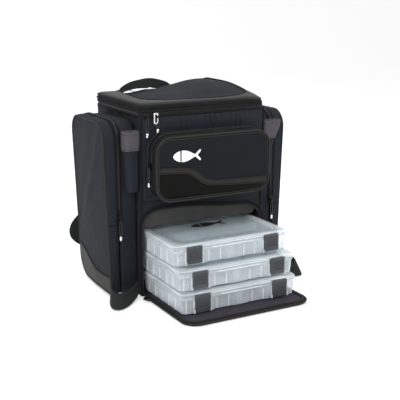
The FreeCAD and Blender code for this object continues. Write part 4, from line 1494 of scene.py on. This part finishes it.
for middle in (hx0 + 0.013, hx1 - 0.013):
    face = [[(middle - 0.0128 + 0.0256 * c / 8, rearY + 0.0028 + 0.0008 * math.sin(math.pi * c / 8),
            0.352 + 0.040 * r / 8) for c in range(9)] for r in range(9)]
    back = [[(x, rearY, z) for x, y, z in row] for row in face]
    roots.append(doubleGrid("root", face, back, [webbing]))
    box = [(middle + sx * 0.0095, rearY + 0.0039, 0.372 + sz * 0.0095) for sx,
            sz in ((-1, -1), (1, -1), (1, 1), (-1, 1))]
    roots.append(stitchRun("rootStitch", box + [box[0], box[2]], (0, 1, 0), blackCloth))
give(joinPieces("handleRoots", roots), "pack", "webbing")
print("handle made")


# soft back panel and shoulder straps
def padShape(name, loopAt, front, back, crown, insets, material):
    # closed crowned pad between two faces; loopAt gives its outline pulled in by an inset
    rings = []
    for inset, lift in insets:
        rings.append([back(x, z, lift * crown) for x, z in loopAt(inset)])
    under = [[front(x, z) for x, z in loopAt(inset)] for inset, lift in reversed(insets)]
    return ringLoft(name, under + rings, [material], capStart=True, capEnd=True)


def puff(piece, voxel, pressure, cap):
    # short cloth inflation of a closed pad, with every point's travel capped
    remesh = piece.modifiers.new("evenMesh", "REMESH")
    remesh.mode = "VOXEL"
    remesh.voxel_size = voxel
    remesh.use_smooth_shade = True
    applyModifiers(piece)
    start = [v.co.copy() for v in piece.data.vertices]
    cloth = piece.modifiers.new("inflate", "CLOTH")
    cloth.settings.use_pressure = True
    cloth.settings.uniform_pressure_force = pressure
    cloth.settings.effector_weights.gravity = 0
    cloth.settings.quality = 4
    for step in range(1, 21):
        scene.frame_set(step)
    applyModifiers(piece)
    scene.frame_set(1)
    for v, home in zip(piece.data.vertices, start):
        move = v.co - home
        if move.length > cap:
            v.co = home + move.normalized() * cap
    piece.data.polygons.foreach_set("use_smooth", [True] * len(piece.data.polygons))
    return subdivide(piece)


backPanel = {"voxel": 0.005, "pressure": 4.0, "cap": 0.005, "channel": 0.0055}
bx0, by0, bz0, bx1, by1, bz1 = span("back_padding")


def backLoop2(inset):
    r = max(0.030 - inset, 0.003)
    return roundLoop(bx0 + 0.004 + inset, bx1 - 0.004 - inset, bz0 + 0.004 + inset, bz1 - 0.004 - inset,
            (r, r, r, r), 30, 8)


backPad = padShape("backPad", backLoop2, lambda x, z: (x, by0 + 0.0008, z), lambda x, z,
        lift: (x, by0 + 0.003 + lift, z), 0.0085,
                   [(0.0, 0.0), (0.001, 0.45), (0.005, 0.8), (0.012, 1.0), (0.025, 1.0), (0.040, 1.0),
                   (0.060, 1.0), (0.080, 1.0), (0.100, 1.0), (0.115, 1.0)], airMesh)
puff(backPad, backPanel["voxel"], backPanel["pressure"], backPanel["cap"])
applyModifiers(backPad)
for v in backPad.data.vertices:  # sewn channels: two uprights and three cross lines; flat against the wall
    p = v.co
    p.y = max(p.y, by0 + 0.0004)
    if p.y > by0 + 0.005:
        cut = max(math.exp(-((abs(p.x) - 0.036) / 0.0045) ** 2),
                *[math.exp(-((p.z - line) / 0.0045) ** 2) * (1 if abs(p.x) > 0.036 else 0)
                for line in (0.112, 0.204, 0.296)])
        p.y -= backPanel["channel"] * cut
        p.y = min(p.y, by1 + 0.0035)
backPad.data.polygons.foreach_set("use_smooth", [True] * len(backPad.data.polygons))
give(backPad, "pack", "air_mesh", "back_padding")
backBinding = sweep("backPadBinding", [(x, by0 + 0.0022, z) for x, z in backLoop2(-0.0022)],
        circle(0.0026, 8), bindingTape, (0, 1, 0), closed=True)
give(backBinding, "pack", "binding")

strap = {"width": 0.058, "thick": 0.0105, "voxel": 0.0045, "pressure": 3.0, "cap": 0.003}
strapLine = smoothPath([(0, rearY + y, z) for y,
        z in ((0.0245, 0.378), (0.0350, 0.360), (0.0390, 0.340), (0.0415, 0.300), (0.0375, 0.250),
        (0.0285, 0.200))], 8)


def strapRings(grow):
    rings = []
    lines = tangents(strapLine, False)
    for k, (spot, along) in enumerate(zip(strapLine, lines)):
        t = k / (len(strapLine) - 1)
        wide = strap["width"] / 2 * (1 - 0.28 * ramp(t, 0.72, 1.0)) - 0.003 + grow
        out = Vector((1, 0, 0)).cross(along).normalized()
        ends = min(1.0, 0.45 + 6 * min(t, 1 - t))
        ring = []
        for a in range(16):
            turn = 2 * math.pi * a / 16
            cx, cy = math.cos(turn), math.sin(turn)
            ring.append(spot + Vector((1, 0, 0)) * wide * math.copysign(abs(cx) ** 0.55, cx) + out
                    * (strap["thick"] / 2 * ends) * math.copysign(abs(cy) ** 0.8, cy))
        rings.append(ring)
    return rings


leftStrap = ringLoft("leftShoulderStrap", strapRings(0), [airMesh], capStart=True, capEnd=True)
leftStrap.data.transform(Matrix.Translation((-0.075, 0, 0)))
puff(leftStrap, strap["voxel"], strap["pressure"], strap["cap"])
applyModifiers(leftStrap)
for v in leftStrap.data.vertices:  # stays off the back panel below its top seam
    v.co.y = max(v.co.y, by1 + 0.0042 if v.co.z < 0.35 else rearY + 0.0125)
    if v.co.y > by1 + 0.012:
        v.co.y -= 0.0016 * math.exp(-((abs(v.co.x + 0.075) - 0.019) / 0.0016) ** 2)
leftStrap.data.polygons.foreach_set("use_smooth", [True] * len(leftStrap.data.polygons))
strapEdge = []
for sign in (-1, 1):
    path = []
    for k, spot in enumerate(strapLine):
        t = k / (len(strapLine) - 1)
        path.append(spot + Vector((-0.075 + sign
                * (strap["width"] / 2 * (1 - 0.28 * ramp(t, 0.72, 1.0)) - 0.0010), 0, 0)))
    strapEdge.append(sweep("strapEdge", path, circle(0.0024, 8), bindingTape, (0, 1, 0)))
leftStrapEdges = joinPieces("leftStrapBinding", strapEdge)
topTab = sweep("leftStrapTopTab", smoothPath([(-0.075, rearY + y, z) for y,
        z in ((0.0015, 0.3900), (0.0130, 0.3885), (0.0225, 0.3800), (0.0310, 0.3660))], 5),
        bandProfile(0.050, 0.0030), webbing, (1, 0, 0))
endTab = sweep("leftStrapEndTab", smoothPath([(-0.075, rearY + y, z) for y,
        z in ((0.0280, 0.214), (0.0268, 0.200), (0.0252, 0.188), (0.0225, 0.1835), (0.0200, 0.190),
        (0.0212, 0.206))], 5), bandProfile(0.0375, 0.0018), webbing, (1, 0, 0))
for item, slotName in ((leftStrap, "air_mesh"), (leftStrapEdges, "binding"), (topTab, "webbing"),
        (endTab, "webbing")):
    twin = mirrored(item, item.name.replace("left", "right"))
    for piece in (item, twin):
        give(piece, "pack", slotName)
        if slotName == "air_mesh":
            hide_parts("shoulder_straps")
webLine = smoothPath([(x, rearY + 0.0192, z) for x,
        z in ((-0.0765, 0.1865), (-0.0790, 0.1700), (-0.100, 0.1570), (-0.150, 0.1345), (-0.188, 0.110),
        (-0.1990, 0.090), (-0.185, 0.072), (-0.150, 0.057), (-0.122, 0.042))], 9)
webRings = []
for spot, along in zip(webLine, tangents(webLine, False)):
    across = along.cross(Vector((0, 1, 0))).normalized()
    webRings.append([spot + across * a + Vector((0, 1, 0)) * b for a, b in bandProfile(0.0345, 0.0022)])
leftWeb = ringLoft("leftStrapWebbing", webRings, [webbing], capStart=True, capEnd=True)
for v in leftWeb.data.vertices:
    v.co.y += 0.0009 * math.sin(v.co.x * 90) * ramp(-v.co.x, 0.10, 0.13)
tailLine = smoothPath([(x, rearY + y, z) for x, y,
        z in ((-0.0762, 0.0275, 0.1795), (-0.0770, 0.0285, 0.1700), (-0.0790, 0.0280, 0.155),
        (-0.0815, 0.0268, 0.134), (-0.0830, 0.0275, 0.110))], 7)
leftTail = sweep("leftStrapTail", tailLine, bandProfile(0.0345, 0.0018), webbing, (1, 0, 0))
for item in (leftWeb, leftTail):
    twin = mirrored(item, item.name.replace("left", "right"))
    give(item, "pack", "webbing", "strap_webbing")
    give(twin, "pack", "webbing", "strap_webbing")
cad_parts["ladder_locks"].data.materials[0] = blackPlastic
print("back panel and straps made")

# fold-down door: lining on a stiff panel, with a rolled binding and its zip half
door = {"corner": 0.034, "lining": 0.0235, "foot": 0.0014, "face": 0.0060}
dx0, dy0, _, dx1, dy1, _ = span("door_binding")


def doorLoop(inset):
    r = max(door["corner"] - inset, 0.002)
    return roundLoop(dx0 + inset, dx1 - inset, dy0 + inset, dy1 - min(inset, 0.001), (r, r, 0.001, 0.001),
            30, 9)


doorRings = [[(x, y, z) for x, y in doorLoop(inset)] for z,
        inset in ((door["foot"], 0.0055), (0.0026, 0.0044), (0.0046, 0.0044), (0.0058, 0.0055))]
doorPanel = ringLoft("doorPanel", doorRings, [blackCloth], capStart=lambda p: (p.x, p.y, door["foot"]),
        capEnd=lambda p: (p.x, p.y, door["face"]))
give(doorPanel, "door", "black_fabric", "door_panel")


def liningHeight(x, y):
    wave = 0.0006 * ripple(x * 12, y * 12, 71.0) + 0.0005 * crease(x * 7 + y * 3, y * 9, 0, 75.0)
    return 0.0068 + wave * ramp(min(dx1 - abs(x), y - dy0) - 0.012, 0, 0.02)


liningTop = []
for r in range(37):
    row = []
    for c in range(49):
        y = dy0 + 0.0105 + (dy1 - 0.0005 - dy0 - 0.0105) * r / 36
        over = max(door["lining"] - (y - dy0 - 0.0105), 0)
        half = dx1 - 0.0105 - (door["lining"] - math.sqrt(max(door["lining"] ** 2 - over ** 2, 0)))
        x = -half + 2 * half * c / 48
        row.append((x, y, liningHeight(x, y)))
    liningTop.append(row)
doorLining = doubleGrid("doorLining", liningTop,
        [[(x, y, z - 0.0006) for x, y, z in row] for row in liningTop], [liningCloth])
give(doorLining, "door", "lining_cloth", "door_lining")


def doorRun(inset, z):
    half, r = dx1 - inset, max(door["corner"] - inset, 0.002)
    line = [(-half, dy1 - (dy1 - dy0 - inset - r) * k / 24, z) for k in range(25)]
    line += [(-half + r - r * math.cos(math.radians(9 * k)),
            dy0 + inset + r - r * math.sin(math.radians(9 * k)), z) for k in range(1, 11)]
    line += [(-half + r + (2 * half - 2 * r) * k / 36, dy0 + inset, z) for k in range(1, 36)]
    return line + [(-x, y, z) for x, y, z in reversed(line[:35])]


rollProfile = [(-0.0040, 0.0000), (-0.0036, -0.0028), (-0.0010, -0.0040), (0.0018, -0.0037),
        (0.0037, -0.0020), (0.0040, 0.0004), (0.0034, 0.0026), (0.0012, 0.0040), (-0.0018, 0.0038),
        (-0.0037, 0.0024)]
doorRolls = [sweep("rollA", doorRun(0.0042, 0.0050), rollProfile, bindingTape, (0, 0, 1)),
             sweep("rollB", doorRun(0.0098, 0.0068), circle(0.0016, 8), bindingTape, (0, 0, 1)),
             sweep("rollC", doorRun(0.0004, 0.0056), circle(0.0012, 6), greyPiping, (0, 0, 1))]
doorBinding = joinPieces("doorBinding", doorRolls)
give(doorBinding, "door", "binding", "door_binding")
give(zipChain("doorZipTeeth", doorRun(0.0080, 0.0086), (0, 0, 1)), "door", "zip_metal")
hingeTop = [[(-0.146 + 0.292 * c / 30, -0.1120 - 0.0185 * r / 12,
        0.0074 + 0.0006 * math.sin(math.pi * r / 12)) for c in range(31)] for r in range(13)]
doorHinge = doubleGrid("doorHingeCloth", hingeTop,
        [[(x, y, z - 0.0050) for x, y, z in row] for row in hingeTop], [blackCloth])
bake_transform(doorHinge)
print("door made")

# clear storage boxes: walled tray, stepped lid, ribs and latch ears
boxDetail = {"taper": 0.0022, "notch": 0.0026, "ribPitch": 0.0302, "radius": 0.009}


def boxPieces(name):
    tx0, ty0, tz0, tx1, ty1, _ = span(name + "_tray")
    ty0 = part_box(name + "_lid")[0][1]
    zLid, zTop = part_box(name + "_lid")[0][2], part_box(name + "_lid")[1][2]

    def notched(x, y, z):
        # the front steps back between its two latch housings
        if y > ty0 + 0.012:
            return y
        step = ramp(abs(x), 0.016, 0.020) * (1 - ramp(abs(x), 0.058, 0.063)) + 0.7 * ramp(abs(x), 0.1215,
                0.1255)
        return y + boxDetail["notch"] * step * (1 - ramp(z - tz0, 0.0270, 0.0300))

    def ring(inset, z, radius=None):
        loop = roundLoop(tx0 + inset, tx1 - inset, ty0 + inset, ty1 - inset,
                [radius or boxDetail["radius"]] * 4, 56, 6)
        return [(x, notched(x, y, z), z) for x, y in loop]

    slim = boxDetail["taper"]
    trayRings = [ring(0.060, tz0 + 0.0014), ring(slim + 0.0080, tz0 + 0.0014),
            ring(slim + 0.0060, tz0 + 0.0002), ring(slim + 0.0030, tz0 + 0.0002),
            ring(slim + 0.0006, tz0 + 0.0016),
                 ring(slim, tz0 + 0.005), ring(slim * 0.6, tz0 + 0.016), ring(slim * 0.3, tz0 + 0.0275),
                 ring(slim * 0.25, tz0 + 0.0312), ring(-0.0004, tz0 + 0.0318),
                 ring(-0.0004, zLid - 0.0004), ring(0.0030, zLid - 0.0002), ring(0.0034, zLid - 0.0060)]
    tray = ringLoft(name + "Tray", trayRings, [boxPlastic], capStart=True)
    lidRings2 = [ring(0.0042, zLid + 0.0016), ring(0.0040, zLid + 0.0002), ring(-0.0002, zLid + 0.0002),
            ring(-0.0004, zLid + 0.0030), ring(-0.0001, zTop - 0.0030), ring(0.0012, zTop - 0.0008),
                 ring(0.0040, zTop), ring(0.0115, zTop, 0.014), ring(0.0130, zTop - 0.0012, 0.018),
                 ring(0.0165, zTop - 0.0013, 0.022), ring(0.0180, zTop - 0.0030, 0.024),
                 ring(0.045, zTop - 0.0032, 0.012), ring(0.085, zTop - 0.0032, 0.004)]
    # rows picked 1 get the brighter plastic as a painted highlight along the lid's top bevel and its two
    # steps; rows picked 2 are the darker centre panel
    lidPick = [0, 0, 0, 0, 1, 0, 0, 1, 0, 1, 2, 2]
    boxLid = ringLoft(name + "Lid", lidRings2, [lidPlastic, ribAndHighlightPlastic, panelPlastic], pick=lambda row,
            col: lidPick[row], capEnd=True)
    verts, faces = [], []

    def block(x0, x1, y0, y1, z0, z1, soft=0.0006):
        # a small moulded block with eased edges
        base = len(verts)
        for z, s in ((z0, soft), (z0 + soft, 0), (z1 - soft, 0), (z1, soft)):
            verts.extend([(x0 + s, y0 + s, z), (x1 - s, y0 + s, z), (x1 - s, y1 - s, z), (x0 + s, y1 - s, z)])
        for level in range(3):
            for k in range(4):
                n = (k + 1) % 4
                faces.append((base + level * 4 + k, base + level * 4 + n, base + level * 4 + 4 + n,
                        base + level * 4 + 4 + k))
        faces.extend([(base + 3, base + 2, base + 1, base), (base + 12, base + 13, base + 14, base + 15)])

    for side in (-1, 1):
        wall = tx0 if side < 0 else tx1
        for k in range(1, 6):
            y = ty0 + 0.004 + boxDetail["ribPitch"] * k
            block(wall - 0.0010 + (0.0014 if side < 0 else -0.0014),
                    wall + 0.0010 + (0.0014 if side < 0 else -0.0014), y - 0.0008, y + 0.0008, tz0 + 0.003,
                    tz0 + 0.0305)
        for y in (ty0 + 0.030, ty1 - 0.040):
            block(min(wall, wall - side * 0.002), max(wall, wall - side * 0.002), y - 0.014, y + 0.014,
                    zLid + 0.0028, zTop - 0.0035)
        for centre in (-0.093, 0.093):
            x = centre + side * 0.0192
            block(x - 0.0015, x + 0.0015, ty0 - 0.0046, ty0 + 0.0006, tz0 + 0.0030, tz0 + 0.0100, 0.0005)
            block(x - 0.0011, x + 0.0011, ty0 - 0.0018, ty0 + 0.0010, tz0 + 0.0110, tz0 + 0.0300, 0.0004)
        block(side * 0.0285 - 0.0010, side * 0.0285 + 0.0010, ty0 + 0.0030, ty0 + 0.0048, tz0 + 0.002,
                tz0 + 0.0280)
        block(side * 0.0560 - 0.0010, side * 0.0560 + 0.0010, ty0 + 0.0030, ty0 + 0.0048, tz0 + 0.002,
                tz0 + 0.0280)
        block(side * 0.128 - 0.0009, side * 0.128 + 0.0009, ty0 + 0.0026, ty0 + 0.0044, tz0 + 0.002,
                tz0 + 0.0280)
    block(-0.050, 0.050, ty0 - 0.0011, ty0 + 0.0012, zLid - 0.0032, zLid - 0.0006, 0.0005)
    block(-0.072, 0.072, ty0 - 0.0010, ty0 + 0.0010, zLid + 0.0034, zLid + 0.0056, 0.0005)
    block(-0.120, -0.030, ty1 - 0.0010, ty1 + 0.0003, zLid - 0.0080, zTop - 0.0040, 0.0002)
    block(0.030, 0.120, ty1 - 0.0010, ty1 + 0.0003, zLid - 0.0080, zTop - 0.0040, 0.0002)
    # ribs, housings and bars take the brighter plastic, partly a painted highlight
    ribs = newPiece(name + "Ribs", verts, faces, [ribAndHighlightPlastic], smooth=False)
    give(tray, name, "clear_plastic", name + "_tray")
    give(boxLid, name, "clear_plastic", name + "_lid")
    give(ribs, name, "clear_plastic")
    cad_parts[name + "_dividers"].data.materials[0] = dividerPlastic
    for side in ("left", "right"):
        node = "%s_%s_latch" % (name, side)
        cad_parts[node].data.materials[0] = latchPlastic
        cx0, cy0, cz0, cx1, _, _ = span(node)
        middle = (cx0 + cx1) / 2
        ridges = [(Vector((middle, cy0 - 0.0002, cz0 + 0.0075 + 0.0026 * k)), Vector((1, 0, 0)),
                Vector((0, -1, 0))) for k in range(10)]
        give(chips(name + side.capitalize() + "LatchRidges", ridges, (0.0310, 0.0011, 0.0008),
                latchPlastic), node, "latch_plastic")
    return zTop


for boxName in ("bottom_box", "middle_box", "top_box"):
    zTop = boxPieces(boxName)
lidSpan = span("top_box_lid")
boxMark = fishMark("topBoxFish", 0.082, 0.030, lambda u, w,
        lift: (-0.030 + u + 0.18 * w, lidSpan[1] + 0.128 + w, lidSpan[5] - 0.0030 + lift), darkPrint)
give(boxMark, "top_box", "clear_plastic")
print("storage boxes made")

# zip sliders keep their shape; each pull is a folded cord with a bright end
pull = {"cord": 0.00095, "spread": 0.0026, "endRadius": 0.0034, "endLength": 0.0095}
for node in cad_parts:
    if node.endswith("_zip_slider"):
        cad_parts[node].data.materials[0] = sliderPaint


def brightEnd(name, x, y, top, length, radius):
    # a small turned end with a waist, slightly flattened
    profile = ((0.00, 0.45), (0.10, 0.80), (0.25, 1.0), (0.45, 0.92), (0.62, 1.0), (0.85, 0.86),
            (0.96, 0.60), (1.0, 0.30))
    rings = [[(x + radius * size * math.cos(a * math.pi / 7),
            y + radius * 0.78 * size * math.sin(a * math.pi / 7), top - length * t) for a in range(14)]
            for t, size in profile]
    return ringLoft(name, rings, [brightMetal], capStart=True, capEnd=True)


def pullPieces(body, name):
    ax0, ay0, az0, ax1, ay1, az1 = span(body)
    x, y = (ax0 + ax1) / 2, (ay0 + ay1) / 2
    across = Vector((0, 1, 0)) if abs(x) < 0.150 and "front_pocket" in body else Vector((1, 0, 0))
    eye = az1 - 0.0012
    endTop = az0 + pull["endLength"]
    loop = [Vector((x, y, endTop - 0.001)) + across * -0.0012,
            Vector((x, y, endTop + 0.008)) - across * pull["spread"],
            Vector((x, y, eye - 0.008)) - across * pull["spread"] * 0.9,
            Vector((x, y, eye)), Vector((x, y, eye - 0.008)) + across * pull["spread"] * 0.9,
            Vector((x, y, endTop + 0.008)) + across * pull["spread"],
            Vector((x, y, endTop - 0.001)) + across * 0.0012]
    cordLoop = sweep(name + "Cord", smoothPath(loop, 6), circle(pull["cord"], 8), blackPlastic,
            (across.y, across.x, 0))
    knot = sweep(name + "Knot", [Vector((x, y, endTop + 0.0035))
            + Vector((0.0021 * math.cos(a * 0.7), 0.0017 * math.sin(a * 0.7), 0.0004 * a))
            for a in range(10)], circle(0.0009, 6), blackPlastic, (0, 0, 1))
    give(joinPieces(name + "Cord", [cordLoop, knot]), body, "cord_pull", body)
    give(brightEnd(name + "End", x, y, endTop + 0.001, pull["endLength"] + 0.0008, pull["endRadius"]),
            body, "zip_metal")


for body, name in (("lid_corner_zip_pull", "lidCornerPull"), ("front_pocket_zip_pull", "frontPocketPull"),
        ("left_pocket_zip_pull", "leftPocketPull"), ("right_pocket_zip_pull", "rightPocketPull"),
        ("lid_front_zip_pull", "lidFrontPull")):
    pullPieces(body, name)
kx, ky = -0.1195, -0.1300
tabOutline = roundLoop(kx - 0.0050, kx + 0.0050, 0.3740, 0.3985, (0.0050, 0.0050, 0.0034, 0.0034), 6, 6)
tabHole = roundLoop(kx - 0.0026, kx + 0.0026, 0.3775, 0.3955, (0.0026, 0.0026, 0.0018, 0.0018), 6, 6)
tabRings = [[(x, ky - 0.0012, z) for x, z in tabHole], [(x, ky - 0.0014, z) for x, z in tabOutline],
        [(x, ky + 0.0008, z) for x, z in tabOutline], [(x, ky + 0.0006, z) for x, z in tabHole],
        [(x, ky - 0.0012, z) for x, z in tabHole]]
give(ringLoft("lidFrontPullTab", tabRings, [brightMetal]), "lid_front_zip_pull", "zip_metal")
print("zip pulls made")

# pale floor, curved up far behind and far in front
floorRows = []
for r in range(25):
    y = -6.0 + 12.0 * r / 24
    rise = max(abs(y) - 3.0, 0)
    floorRows.append([(-7 + 14 * c / 24, y, -0.0006 + rise * rise * 0.25) for c in range(25)])
floor = doubleGrid("paleFloor", floorRows, [[(x, y, z - 0.002) for x, y, z in row] for row in floorRows],
        [floorPaper])
